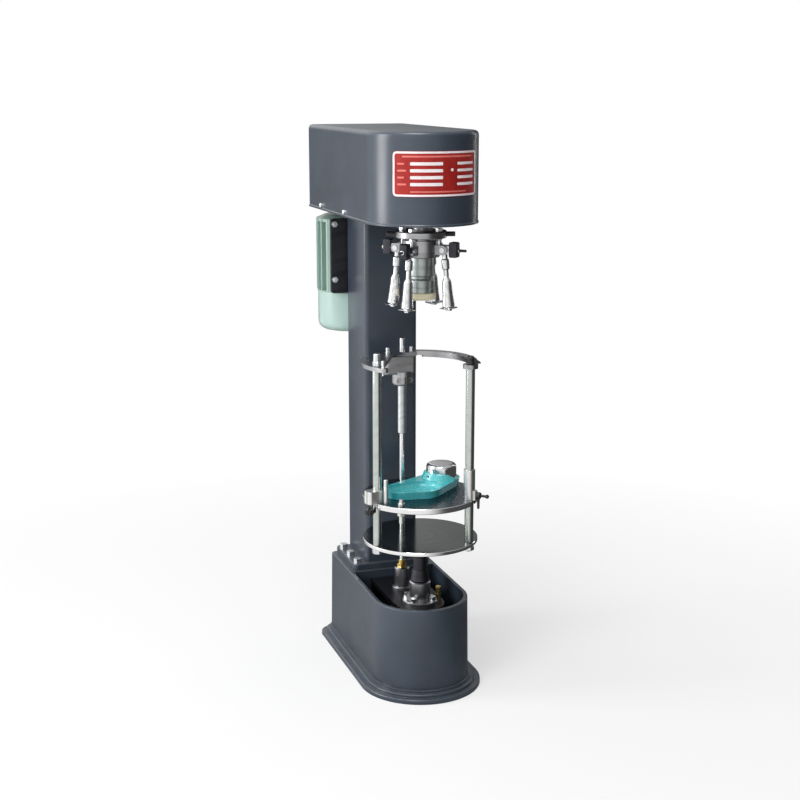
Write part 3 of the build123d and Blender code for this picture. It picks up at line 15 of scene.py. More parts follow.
import bpy
import numpy as np
from mathutils import Matrix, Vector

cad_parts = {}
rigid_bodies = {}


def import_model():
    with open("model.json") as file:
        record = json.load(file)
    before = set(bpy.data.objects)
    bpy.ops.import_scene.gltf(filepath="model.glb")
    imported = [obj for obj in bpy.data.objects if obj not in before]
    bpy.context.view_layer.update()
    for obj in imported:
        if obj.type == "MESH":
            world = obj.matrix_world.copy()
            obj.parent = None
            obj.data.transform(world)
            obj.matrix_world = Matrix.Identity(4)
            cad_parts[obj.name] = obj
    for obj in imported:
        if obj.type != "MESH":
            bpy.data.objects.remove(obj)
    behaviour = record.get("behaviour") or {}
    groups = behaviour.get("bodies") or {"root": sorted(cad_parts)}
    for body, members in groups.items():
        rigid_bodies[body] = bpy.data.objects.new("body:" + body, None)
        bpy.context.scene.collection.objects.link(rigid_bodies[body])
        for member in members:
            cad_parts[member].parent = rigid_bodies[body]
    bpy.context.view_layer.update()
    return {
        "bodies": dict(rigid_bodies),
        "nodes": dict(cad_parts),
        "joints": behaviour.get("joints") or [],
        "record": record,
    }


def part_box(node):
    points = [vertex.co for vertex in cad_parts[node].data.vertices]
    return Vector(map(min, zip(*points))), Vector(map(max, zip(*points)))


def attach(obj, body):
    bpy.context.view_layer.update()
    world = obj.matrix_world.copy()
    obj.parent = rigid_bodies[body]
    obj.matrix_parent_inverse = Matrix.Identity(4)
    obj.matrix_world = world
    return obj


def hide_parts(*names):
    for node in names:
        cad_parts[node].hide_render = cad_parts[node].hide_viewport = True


LOG = logging.getLogger("capping_machine")
MM = 0.001
LEVER_ANGLES = (45, 135, 225, 315)
CREASE = math.radians(32)

Triple = tuple[float, float, float]


# Surfaces


def shifted(x: float = 0.0, y: float = 0.0, z: float = 0.0) -> np.ndarray:
    """Place moved by x, y and z."""
    return np.array(Matrix.Translation((x, y, z)))


def turned_about(axis: str, degrees: float) -> np.ndarray:
    """Place turned about one of the axes X, Y or Z."""
    return np.array(Matrix.Rotation(math.radians(degrees), 4, axis))


def placed(points: np.ndarray, place: np.ndarray) -> np.ndarray:
    """Points of any grid shape, carried by a 4 x 4 place."""
    return points @ place[:3, :3].T + place[:3, 3]


def eased(corners: Sequence[Triple], steps: int = 5) -> np.ndarray:
    """Open path with rounded corners.

    Each corner (a, b, radius) becomes a quadratic curve between the two points that lie at the
    tangent length, radius x tan(half the turn), along its two runs: (1-t)^2 A + 2t(1-t) C + t^2 B.

    Args:
        corners: Corner points with their radii; a radius of 0 keeps the corner sharp.
        steps: Number of points on a rounded corner.

    Returns:
        Array of (a, b) points.
    """
    nodes = np.array(corners, float)
    share = np.linspace(0, 1, steps)[:, None]
    runs = [nodes[:1, :2]]
    for before, here, after in zip(nodes[:-2], nodes[1:-1], nodes[2:]):
        back = before[:2] - here[:2]
        ahead = after[:2] - here[:2]
        back_length = np.linalg.norm(back)
        ahead_length = np.linalg.norm(ahead)
        if here[2] <= 0:
            runs.append(here[None, :2])
            continue
        cosine = np.clip(back @ ahead / (back_length * ahead_length), -1, 1)
        half_turn = (math.pi - math.acos(cosine)) / 2
        reach = min(here[2] * math.tan(half_turn), 0.49 * back_length, 0.49 * ahead_length)
        start = here[:2] + back / back_length * reach
        end = here[:2] + ahead / ahead_length * reach
        runs.append((1 - share) ** 2 * start + 2 * share * (1 - share) * here[:2] + share**2 * end)
    runs.append(nodes[-1:, :2])
    return np.concatenate(runs)


class Outline:
    """A closed plan that can be drawn again at an inset."""

    def loop(self, inset: np.ndarray) -> np.ndarray:
        """Rows of plan points, one row for each inset."""
        raise NotImplementedError


@dataclass(frozen=True)
class BoxPlan(Outline):
    """Rectangle with round corners.

    Each corner is an arc about a centre that lies the corner radius inside both sides; the sides
    between the arcs are divided evenly.
    """

    width: float
    depth: float
    corner: float
    arc_points: int = 6
    side_points: int = 0

    def loop(self, inset: np.ndarray) -> np.ndarray:
        """Rows of the rectangle at each inset."""
        inset = np.asarray(inset, float)[:, None]
        corner = np.maximum(self.corner - inset, 1e-6)
        half_x = np.maximum(self.width / 2 - inset - corner, 0)
        half_y = np.maximum(self.depth / 2 - inset - corner, 0)
        corner = np.minimum(corner, np.maximum(np.minimum(self.width, self.depth) / 2 - inset, 0))
        rows = []
        for number, (side_x, side_y) in enumerate(((1, 1), (-1, 1), (-1, -1), (1, -1))):
            turn = number * math.pi / 2 + np.linspace(0, math.pi / 2, self.arc_points)
            x = side_x * half_x + corner * np.cos(turn)
            y = side_y * half_y + corner * np.sin(turn)
            rows.append(np.stack([x, y], axis=2))
        if self.side_points:
            share = np.linspace(0, 1, self.side_points + 2)[1:-1][None, :, None]
            arcs = list(rows)
            rows = []
            for arc, following in zip(arcs, arcs[1:] + arcs[:1]):
                rows.append(arc)
                rows.append(arc[:, -1:] * (1 - share) + following[:, :1] * share)
        return np.concatenate(rows, axis=1)


@dataclass(frozen=True)
class DPlan(Outline):
    """Half-round front, straight sides and a square back with round corners.

    Front: (radius - inset) x (cos t, sin t) for t from 180 to 360 degrees. Each back corner is an
    arc about a centre that lies the corner radius inside the side and the back.
    """

    radius: float
    back: float
    corner: float
    front_points: int = 72
    arc_points: int = 7

    def loop(self, inset: np.ndarray) -> np.ndarray:
        """Rows of the plan at each inset."""
        inset = np.asarray(inset, float)[:, None]
        half = np.maximum(self.radius - inset, 0)
        corner = np.minimum(np.maximum(self.corner - inset, 1e-5), half)
        turn = np.linspace(math.pi, 2 * math.pi, self.front_points)
        front = np.stack([half * np.cos(turn), half * np.sin(turn)], axis=2)
        rows = [front]
        for number, side in enumerate((1, -1)):
            turn = number * math.pi / 2 + np.linspace(0, math.pi / 2, self.arc_points)
            x = side * (half - corner) + corner * np.cos(turn)
            y = self.back - inset - corner + corner * np.sin(turn)
            rows.append(np.stack([x, np.broadcast_to(y, x.shape)], axis=2))
        return np.concatenate(rows, axis=1)


@dataclass(frozen=True)
class HexPlan(Outline):
    """Regular hexagon of a size across its flats, with eased corners."""

    flats: float

    def loop(self, inset: np.ndarray) -> np.ndarray:
        """Rows of the hexagon: radius at t = inner radius / cos(angle from the nearest flat)."""
        turn = np.linspace(0, 2 * math.pi, 48, endpoint=False)
        from_flat = (turn + math.pi / 6) % (math.pi / 3) - math.pi / 6
        reach = 1 / np.cos(np.clip(from_flat, -math.radians(27), math.radians(27)))
        ray = np.stack([reach * np.cos(turn), reach * np.sin(turn)], axis=1)
        inner = np.maximum(self.flats / 2 - np.asarray(inset, float), 0)
        return inner[:, None, None] * ray[None]


def carried(outline: Outline, profile: np.ndarray) -> np.ndarray:
    """Profile carried round an outline.

    Args:
        outline: Plan that the profile follows.
        profile: Rows of (inset, height).

    Returns:
        Grid of points whose row i is the outline inset by profile[i, 0] at height profile[i, 1].
    """
    loops = outline.loop(profile[:, 0])
    heights = np.broadcast_to(profile[:, 1][:, None, None], (*loops.shape[:2], 1))
    return np.concatenate([loops, heights], axis=2)


def turned(profile: np.ndarray, segments: int = 48) -> np.ndarray:
    """Surface of revolution: (r cos t, r sin t, z) for each (r, z) of the profile."""
    turn = np.linspace(0, 2 * math.pi, segments, endpoint=False)
    radius = profile[:, 0][:, None]
    height = np.broadcast_to(profile[:, 1][:, None], (len(profile), segments))
    return np.stack([radius * np.cos(turn), radius * np.sin(turn), height], axis=2)


def threaded(radius: float, pitch: float, low: float, high: float, segments: int = 24) -> np.ndarray:
    """Threaded rod with chamfered ends, closed at both.

    Its radius at (t, z) is radius - 0.6 pitch x |2 frac(z / pitch - t / 2 pi) - 1|, and it runs
    down to the core over half a pitch at each end.
    """
    rows = max(int((high - low) / pitch * 6), 8)
    z = np.linspace(low, high, rows)[:, None]
    turn = np.linspace(0, 2 * math.pi, segments, endpoint=False)[None]
    wave = np.abs(2 * np.mod(z / pitch - turn / (2 * math.pi), 1) - 1)
    crest = radius - 0.6 * pitch * wave
    from_end = np.minimum(z - low, high - z) / (0.8 * pitch)
    crest = np.minimum(crest, radius - 0.8 * pitch * (1 - np.clip(from_end, 0, 1)))
    body = np.stack([crest * np.cos(turn), crest * np.sin(turn), z + 0 * turn], axis=2)
    caps = [np.zeros((1, segments, 3)), np.zeros((1, segments, 3))]
    caps[0][..., 2] = low
    caps[1][..., 2] = high
    return np.concatenate([caps[0], body, caps[1]])


class Patchwork:
    """One piece, gathered from closed surfaces."""

    def __init__(self, name: str) -> None:
        """Starts an empty piece."""
        self.name = name
        self.points: list[np.ndarray] = []
        self.quads: list[np.ndarray] = []
        self.triangles: list[np.ndarray] = []
        self.count = 0

    def add(self, grid: np.ndarray, place: np.ndarray | None = None, ring: bool = False) -> "Patchwork":
        """Adds one closed surface.

        Args:
            grid: Rows of points; each row closes on itself.
            place: Where the surface goes, as a 4 x 4 matrix.
            ring: Whether the last row joins the first, as on a washer or a rim.

        Returns:
            The piece, so that calls can follow each other.
        """
        rows, columns = grid.shape[:2]
        flat = (grid if place is None else placed(grid, place)).reshape(-1, 3)
        keys, index = np.unique(np.round(flat, 7), axis=0, return_inverse=True)
        index = index.reshape(rows, columns)
        below = index if ring else index[:-1]
        above = np.roll(index, -1, axis=0) if ring else index[1:]
        quads = np.stack(
            [below, np.roll(below, -1, 1), np.roll(above, -1, 1), above], axis=2
        ).reshape(-1, 4)
        same = quads == np.roll(quads, -1, axis=1)
        whole = quads[~same.any(axis=1)]
        whole = whole[(whole[:, 0] != whole[:, 2]) & (whole[:, 1] != whole[:, 3])]
        corners = []
        for corner in range(4):
            lone = quads[same[:, corner] & (same.sum(axis=1) == 1)]
            corners.append(np.delete(lone, corner, axis=1))
        thirds = np.concatenate(corners)
        thirds = thirds[(thirds[:, 0] != thirds[:, 2]) & (thirds[:, 0] != thirds[:, 1])]
        thirds = thirds[thirds[:, 1] != thirds[:, 2]]
        if self.volume(keys, whole, thirds) < 0:
            whole = whole[:, ::-1]
            thirds = thirds[:, ::-1]
        self.points.append(keys)
        self.quads.append(whole + self.count)
        self.triangles.append(thirds + self.count)
        self.count += len(keys)
        return self

    @staticmethod
    def volume(points: np.ndarray, quads: np.ndarray, thirds: np.ndarray) -> float:
        """Signed volume inside the faces: a sixth of the sum of a . (b x c) over the triangles."""
        halves = np.concatenate([quads[:, [0, 1, 2]], quads[:, [0, 2, 3]], thirds])
        a, b, c = (points[halves[:, k]] for k in range(3))
        return float(np.einsum("ij,ij->i", a, np.cross(b, c)).sum() / 6)

    def build(self) -> bpy.types.Object:
        """Makes the mesh object, smooth except at its creases."""
        faces = np.concatenate(self.quads).tolist() + np.concatenate(self.triangles).tolist()
        mesh = bpy.data.meshes.new(self.name)
        mesh.from_pydata(np.concatenate(self.points).tolist(), [], faces)
        mesh.polygons.foreach_set("use_smooth", np.ones(len(mesh.polygons), bool))
        mesh.set_sharp_from_angle(angle=CREASE)
        mesh.update()
        piece = bpy.data.objects.new(self.name, mesh)
        bpy.context.scene.collection.objects.link(piece)
        return piece


# Node trees


class Tree:
    """A node tree with short calls that add and link nodes."""

    def __init__(self, tree: bpy.types.NodeTree) -> None:
        """Wraps a node tree."""
        self.tree = tree

    def add(self, kind: str, sockets: dict | None = None, **settings) -> bpy.types.Node:
        """Adds a node.

        Args:
            kind: Node type without its "ShaderNode" beginning.
            sockets: Input values or sources, by input name or number.
            settings: Properties of the node.

        Returns:
            The node.
        """
        node = self.tree.nodes.new("ShaderNode" + kind)
        for name, value in settings.items():
            setattr(node, name, value)
        for name, value in (sockets or {}).items():
            if isinstance(value, bpy.types.NodeSocket):
                self.tree.links.new(value, node.inputs[name])
            else:
                node.inputs[name].default_value = value
        return node

    def group(self, shared: bpy.types.NodeTree, sockets: dict | None = None) -> bpy.types.Node:
        """Places a shared node group."""
        node = self.tree.nodes.new("ShaderNodeGroup")
        node.node_tree = shared
        for name, value in (sockets or {}).items():
            if isinstance(value, bpy.types.NodeSocket):
                self.tree.links.new(value, node.inputs[name])
            else:
                node.inputs[name].default_value = value
        return node

    def math(self, operation: str, first, second=0.0, third=0.0) -> bpy.types.NodeSocket:
        """Output of a Math node."""
        return self.add("Math", {0: first, 1: second, 2: third}, operation=operation).outputs[0]

    def fitted(self, value: bpy.types.NodeSocket, low: float, high: float, to_low: float, to_high: float):
        """Value from low to high, carried to another range and clamped to it."""
        sockets = {"Value": value, 1: low, 2: high, 3: to_low, 4: to_high}
        return self.add("MapRange", sockets, clamp=True).outputs[0]

    def blended(self, mask, first, second) -> bpy.types.NodeSocket:
        """Colour that goes from first to second as the mask goes from 0 to 1."""
        node = self.add("Mix", data_type="RGBA")
        for socket, value in ((node.inputs[0], mask), (node.inputs[6], first), (node.inputs[7], second)):
            if isinstance(value, bpy.types.NodeSocket):
                self.tree.links.new(value, socket)
            else:
                socket.default_value = value
        return node.outputs[2]


class Effects:
    """Shader node groups that several finishes share, each made once."""

    made: dict[str, bpy.types.NodeTree] = {}

    @classmethod
    def begin(cls, name: str, inputs: dict[str, float], outputs: Sequence[str]) -> Tree | None:
        """Starts a group with a Vector input, named values and named outputs."""
        group = bpy.data.node_groups.new(name, "ShaderNodeTree")
        face = group.interface
        face.new_socket(name="Vector", in_out="INPUT", socket_type="NodeSocketVector")
        for label, value in inputs.items():
            socket = face.new_socket(name=label, in_out="INPUT", socket_type="NodeSocketFloat")
            socket.default_value = value
        for label in outputs:
            face.new_socket(name=label, in_out="OUTPUT", socket_type="NodeSocketFloat")
        cls.made[name] = group
        tree = Tree(group)
        tree.entry = group.nodes.new("NodeGroupInput").outputs
        tree.exit = group.nodes.new("NodeGroupOutput").inputs
        return tree

    @classmethod
    def orange_peel(cls) -> bpy.types.NodeTree:
        """Sprayed paint: fine stipple over long slow waves."""
        if "orange_peel" not in cls.made:
            tree = cls.begin("orange_peel", {"Stipple": 700.0, "Wave": 30.0}, ("Height",))
            vector, stipple, wave = tree.entry["Vector"], tree.entry["Stipple"], tree.entry["Wave"]
            fine = tree.add("TexNoise", {"Vector": vector, "Scale": stipple, "Detail": 2.0})
            slow = tree.add("TexNoise", {"Vector": vector, "Scale": wave, "Detail": 1.0})
            both = tree.math("MULTIPLY_ADD", slow.outputs[0], 2.5, fine.outputs[0])
            tree.tree.links.new(both, tree.exit["Height"])
        return cls.made["orange_peel"]

    @classmethod
    def smudges(cls) -> bpy.types.NodeTree:
        """Handled surface: soft blotches crossed by faint wipe marks."""
        if "smudges" not in cls.made:
            tree = cls.begin("smudges", {"Scale": 14.0, "Amount": 1.0}, ("Mask",))
            vector, scale = tree.entry["Vector"], tree.entry["Scale"]
            blotch = tree.add("TexNoise", {"Vector": vector, "Scale": scale, "Detail": 4.0})
            stretch = tree.add("Mapping", {"Vector": vector, "Scale": (1.0, 1.0, 0.12)})
            wipe_scale = tree.math("MULTIPLY", scale, 9.0)
            wipe = tree.add("TexNoise", {"Vector": stretch.outputs[0], "Scale": wipe_scale, "Detail": 3.0})
            both = tree.math("MULTIPLY_ADD", wipe.outputs[0], 0.5, blotch.outputs[0])
            mask = tree.fitted(both, 0.55, 0.95, 0.0, 1.0)
            shown = tree.math("MULTIPLY", mask, tree.entry["Amount"])
            tree.tree.links.new(shown, tree.exit["Mask"])
        return cls.made["smudges"]

    @classmethod
    def lathe_marks(cls) -> bpy.types.NodeTree:
        """Turned surface: rings about an upright axis, noise of (distance from the axis + height)."""
        if "lathe_marks" not in cls.made:
            tree = cls.begin("lathe_marks", {"Rings": 1500.0}, ("Height", "Mask"))
            parts = tree.add("SeparateXYZ", {0: tree.entry["Vector"]})
            across = tree.math("MULTIPLY", parts.outputs[0], parts.outputs[0])
            across = tree.math("MULTIPLY_ADD", parts.outputs[1], parts.outputs[1], across)
            across = tree.math("SQRT", across)
            along = tree.math("ADD", across, parts.outputs[2])
            steps = tree.math("MULTIPLY", along, tree.entry["Rings"])
            rings = tree.add("TexNoise", {"W": steps, "Scale": 1.0, "Detail": 2.0}, noise_dimensions="1D")
            slow = tree.math("MULTIPLY", steps, 0.06)
            bands = tree.add("TexNoise", {"W": slow, "Scale": 1.0, "Detail": 2.0}, noise_dimensions="1D")
            tree.tree.links.new(rings.outputs[0], tree.exit["Height"])
            tree.tree.links.new(bands.outputs[0], tree.exit["Mask"])
        return cls.made["lathe_marks"]

    @classmethod
    def worn_edges(cls) -> bpy.types.NodeTree:
        """Rubbed corners: where a bevelled normal leaves the true one, broken up by noise."""
        if "worn_edges" not in cls.made:
            tree = cls.begin("worn_edges", {"Radius": 0.001, "Spread": 1.0}, ("Mask",))
            bevel = tree.add("Bevel", {"Radius": tree.entry["Radius"]}, samples=4)
            true = tree.add("NewGeometry")
            dot = tree.add("VectorMath", {0: bevel.outputs[0], 1: true.outputs["True Normal"]})
            dot.operation = "DOT_PRODUCT"
            noise = tree.add("TexNoise", {"Vector": tree.entry["Vector"], "Scale": 260.0, "Detail": 5.0})
            threshold = tree.fitted(noise.outputs[0], 0.3, 0.7, 0.02, 0.2)
            turn = tree.math("SUBTRACT", 1.0, dot.outputs["Value"])
            mask = tree.math("DIVIDE", turn, threshold)
            mask = tree.math("MINIMUM", mask, 1.0)
            mask = tree.math("MULTIPLY", mask, tree.entry["Spread"])
            tree.tree.links.new(mask, tree.exit["Mask"])
        return cls.made["worn_edges"]

    @classmethod
    def dust(cls) -> bpy.types.NodeTree:
        """Dust that settles on faces that look up, thicker in patches."""
        if "dust" not in cls.made:
            tree = cls.begin("dust", {"Amount": 0.5}, ("Mask",))
            normal = tree.add("TexCoord").outputs["Normal"]
            up = tree.add("SeparateXYZ", {0: normal}).outputs[2]
            lying = tree.fitted(up, 0.5, 1.0, 0.0, 1.0)
            noise = tree.add("TexNoise", {"Vector": tree.entry["Vector"], "Scale": 45.0, "Detail": 6.0})
            patch = tree.fitted(noise.outputs[0], 0.35, 0.7, 0.2, 1.0)
            mask = tree.math("MULTIPLY", lying, patch)
            mask = tree.math("MULTIPLY", mask, tree.entry["Amount"])
            tree.tree.links.new(mask, tree.exit["Mask"])
        return cls.made["dust"]


# Finishes


def tint(red: float, green: float, blue: float) -> tuple[float, float, float, float]:
    """Colour given as it looks on a screen, for a shader: each channel to the power 2.2."""
    return red**2.2, green**2.2, blue**2.2, 1.0


@dataclass(frozen=True)
class Finish:
    """What every finish has: a name and a material made once."""

    name: str

    def material(self) -> bpy.types.Material:
        """The finish's material, made at its first use."""
        title = f"{self.name}_finish"
        known = bpy.data.materials.get(title)
        if known:
            return known
        made = bpy.data.materials.new(title)
        made.use_nodes = True
        tree = Tree(made.node_tree)
        shader = made.node_tree.nodes["Principled BSDF"]
        tree.place = tree.add("TexCoord").outputs["Object"]
        self.lay(tree, shader)
        return made

    def lay(self, tree: Tree, shader: bpy.types.Node) -> None:
        """Links the finish's nodes to the shader."""
        raise NotImplementedError

    @staticmethod
    def bump(tree: Tree, shader: bpy.types.Node, height, depth: float, edge: float) -> None:
        """Feeds a height to the shader's normal, over edges that are eased by a bevelled normal."""
        bevel = tree.add("Bevel", {"Radius": edge}, samples=4)
        sockets = {"Height": height, "Distance": depth, "Strength": 1.0, "Normal": bevel.outputs[0]}
        bumped = tree.add("Bump", sockets)
        tree.tree.links.new(bumped.outputs[0], shader.inputs["Normal"])


@dataclass(frozen=True)
class Paint(Finish):
    """Gloss paint on cast or drawn metal, worn at its edges and dusty on top."""

    body: tuple
    mottle: tuple
    bare: tuple
    roughness: float = 0.3
    gloss: float = 0.5
    peel: float = 0.00002
    edge: float = 0.0008
    wear: float = 0.6
    dusty: float = 0.25

    def lay(self, tree: Tree, shader: bpy.types.Node) -> None:
        """Body colour with slow mottling, dust, rubbed edges and orange peel."""
        links = tree.tree.links
        noise = tree.add("TexNoise", {"Vector": tree.place, "Scale": 11.0, "Detail": 5.0})
        slow = tree.fitted(noise.outputs[0], 0.3, 0.7, 0.0, 1.0)
        colour = tree.blended(slow, self.body, self.mottle)
        dust = tree.group(Effects.dust(), {"Vector": tree.place, "Amount": self.dusty}).outputs[0]
        colour = tree.blended(dust, colour, tint(0.62, 0.62, 0.6))
        worn = tree.group(
            Effects.worn_edges(), {"Vector": tree.place, "Radius": self.edge, "Spread": self.wear}
        ).outputs[0]
        colour = tree.blended(worn, colour, self.bare)
        links.new(colour, shader.inputs["Base Color"])
        smudge = tree.group(Effects.smudges(), {"Vector": tree.place, "Scale": 16.0}).outputs[0]
        rough = tree.fitted(smudge, 0.0, 1.0, self.roughness, self.roughness + 0.06)
        rough = tree.math("MULTIPLY_ADD", dust, 0.4, rough)
        links.new(rough, shader.inputs["Roughness"])
        shader.inputs["Coat Weight"].default_value = self.gloss
        shader.inputs["Coat Roughness"].default_value = 0.24
        peel = tree.group(Effects.orange_peel(), {"Vector": tree.place}).outputs[0]
        self.bump(tree, shader, peel, self.peel, self.edge)


@dataclass(frozen=True)
class Metal(Finish):
    """Bare or plated metal with lathe rings or plain grain."""

    colour: tuple
    shade: tuple
    roughness: float
    rings: float = 1500.0
    depth: float = 0.000004
    edge: float = 0.0004
    centre: Triple = (0.0, 0.0, 0.0)
    grime: float = 0.4

    def lay(self, tree: Tree, shader: bpy.types.Node) -> None:
        """Colour bands, smudged roughness and fine rings about the piece's own axis."""
        links = tree.tree.links
        moved = tree.add("Mapping", {"Vector": tree.place, "Location": tuple(-v for v in self.centre)})
        marks = tree.group(Effects.lathe_marks(), {"Vector": moved.outputs[0], "Rings": self.rings})
        smudge = tree.group(
            Effects.smudges(), {"Vector": tree.place, "Scale": 22.0, "Amount": self.grime}
        ).outputs[0]
        band = tree.fitted(marks.outputs["Mask"], 0.35, 0.65, 0.0, 0.5)
        both = tree.math("MAXIMUM", band, smudge)
        links.new(tree.blended(both, self.colour, self.shade), shader.inputs["Base Color"])
        shader.inputs["Metallic"].default_value = 1.0
        rough = tree.fitted(both, 0.0, 1.0, self.roughness, self.roughness + 0.18)
        links.new(rough, shader.inputs["Roughness"])
        self.bump(tree, shader, marks.outputs["Height"], self.depth, self.edge)


@dataclass(frozen=True)
class Moulding(Finish):
    """Plastic, rubber or lacquer: one colour with faint flow marks and scuffs."""

    colour: tuple
    scuffed: tuple
    roughness: float
    coat: float = 0.0
    grain: float = 900.0
    depth: float = 0.00001
    edge: float = 0.0005

    def lay(self, tree: Tree, shader: bpy.types.Node) -> None:
        """Colour that lightens where it is scuffed, over a fine moulded grain."""
        links = tree.tree.links
        smudge = tree.group(Effects.smudges(), {"Vector": tree.place, "Scale": 30.0, "Amount": 0.6}).outputs[0]
        worn = tree.group(
            Effects.worn_edges(), {"Vector": tree.place, "Radius": self.edge, "Spread": 0.4}
        ).outputs[0]
        mask = tree.math("MAXIMUM", smudge, worn)
        links.new(tree.blended(mask, self.colour, self.scuffed), shader.inputs["Base Color"])
        links.new(tree.fitted(smudge, 0.0, 1.0, self.roughness, self.roughness + 0.15), shader.inputs["Roughness"])
        shader.inputs["Coat Weight"].default_value = self.coat
        shader.inputs["Coat Roughness"].default_value = 0.06
        grain = tree.add("TexNoise", {"Vector": tree.place, "Scale": self.grain, "Detail": 2.0}).outputs[0]
        self.bump(tree, shader, grain, self.depth, self.edge)


@dataclass(frozen=True)
class RimHighlightDiscSteel(Metal):
    """Dull turned disc with a painted highlight on its rim, set by the distance from the disc's axis."""

    radius: float = 0.1
    # rim: colour of the painted highlight along the disc's edge
    rim: tuple = (0.85, 0.85, 0.85, 1.0)

    def lay(self, tree: Tree, shader: bpy.types.Node) -> None:
        """The metal's own look, then the painted highlight along the rim's edge."""
        super().lay(tree, shader)
        colour = shader.inputs["Base Color"].links[0].from_socket
        flat = tree.add("Mapping", {"Vector": tree.place, "Location": tuple(-v for v in self.centre)})
        flat.inputs["Scale"].default_value = (1.0, 1.0, 0.0)
        reach = tree.add("VectorMath", {0: flat.outputs[0]}, operation="LENGTH").outputs["Value"]
        # Painted highlight: the colour turns to the rim colour over the last 1.2 mm of the radius
        edge = tree.fitted(reach, self.radius - 0.0012, self.radius - 0.0004, 0.0, 1.0)
        tree.tree.links.new(tree.blended(edge, colour, self.rim), shader.inputs["Base Color"])


class Coat(Enum):
    """The machine's finishes, by the material slot of the record that each one dresses."""

    CASTING = Paint(
        "casting_paint", tint(0.2, 0.23, 0.27), tint(0.23, 0.265, 0.31), tint(0.5, 0.52, 0.55), gloss=0.3, dusty=0.1
    )
    IRON = Metal("dark_iron", tint(0.3, 0.3, 0.32), tint(0.18, 0.18, 0.2), 0.42, rings=900.0)
    MINT = Paint(
        "mint_paint",
        tint(0.54, 0.64, 0.6),
        tint(0.5, 0.6, 0.56),
        tint(0.75, 0.83, 0.8),
        roughness=0.34,
        gloss=0.35,
        wear=0.35,
        dusty=0.1,
    )
    ZINC = Metal("zinc_steel", tint(0.95, 0.96, 0.97), tint(0.76, 0.78, 0.78), 0.24, rings=700.0)
    STEEL = Metal("turned_steel", tint(0.72, 0.72, 0.73), tint(0.5, 0.5, 0.5), 0.26)
    CHROME = Metal("bright_chrome", tint(0.93, 0.93, 0.94), tint(0.78, 0.79, 0.8), 0.07, depth=0.000001)
    LIGHT = Metal("table_fitting", tint(0.93, 0.93, 0.92), tint(0.8, 0.8, 0.79), 0.3, rings=800.0)
    BRASS = Metal("yellow_brass", tint(0.9, 0.8, 0.5), tint(0.68, 0.56, 0.3), 0.24)
    PULLEY = Metal("pulley_iron", tint(0.55, 0.55, 0.56), tint(0.36, 0.36, 0.37), 0.36)
    BELT = Moulding("black_rubber", tint(0.1, 0.1, 0.1), tint(0.2, 0.2, 0.2), 0.7)
    BLACK_STEEL = Moulding("black_steel", tint(0.08, 0.08, 0.09), tint(0.3, 0.3, 0.3), 0.35)
    BLACK = Moulding("black_plastic", tint(0.06, 0.06, 0.065), tint(0.2, 0.2, 0.2), 0.32, coat=0.3)
    CREAM = Moulding("cream_plastic", tint(0.9, 0.88, 0.76), tint(0.78, 0.74, 0.6), 0.45)
    TEAL = Moulding("teal_plastic", tint(0.2, 0.67, 0.69), tint(0.42, 0.78, 0.8), 0.22, coat=0.6)

    @classmethod
    def of_slot(cls, slot: str) -> Finish:
        """The finish of a material slot of the record."""
        return next(coat.value for coat in cls if coat.value.name == slot)


def dressed(piece: bpy.types.Object, finish: Finish) -> bpy.types.Object:
    """Gives a piece its one material."""
    piece.data.materials.clear()
    piece.data.materials.append(finish.material())
    return piece


def fitted_out(piece: bpy.types.Object, body: str, finish: Finish) -> bpy.types.Object:
    """Dresses a new piece and lets it ride on its body.

    Args:
        piece: New piece, already in place.
        body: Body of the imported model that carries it.
        finish: What it is finished with.

    Returns:
        The same piece.
    """
    dressed(piece, finish)
    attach(piece, body)
    LOG.info("%s rides on %s", piece.name, body)
    return piece


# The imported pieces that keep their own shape


@dataclass
class PackedPieces:
    """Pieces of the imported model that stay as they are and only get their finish."""

    frame: dict
    crease: float = CREASE
    special: dict[str, Finish] = field(default_factory=dict)

    def dress(self) -> None:
        """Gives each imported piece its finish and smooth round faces."""
        for row in self.frame["record"]["subparts"]:
            piece = self.frame["nodes"][row["node"]]
            slot = row["material_slot"]
            finish = self.special.get(row["node"], Coat.of_slot(slot))
            dressed(piece, finish)
            self.smooth(piece)
            LOG.info("%s dressed as %s", piece.name, finish.name)

    def smooth(self, piece: bpy.types.Object) -> None:
        """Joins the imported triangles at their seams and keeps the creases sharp."""
        mesh = piece.data
        mesh.polygons.foreach_set("use_smooth", np.ones(len(mesh.polygons), bool))
        weld = piece.modifiers.new("seams", "WELD")
        weld.merge_threshold = 0.000005
        split = piece.modifiers.new("creases", "EDGE_SPLIT")
        split.split_angle = self.crease


# Head: cover and nameplate


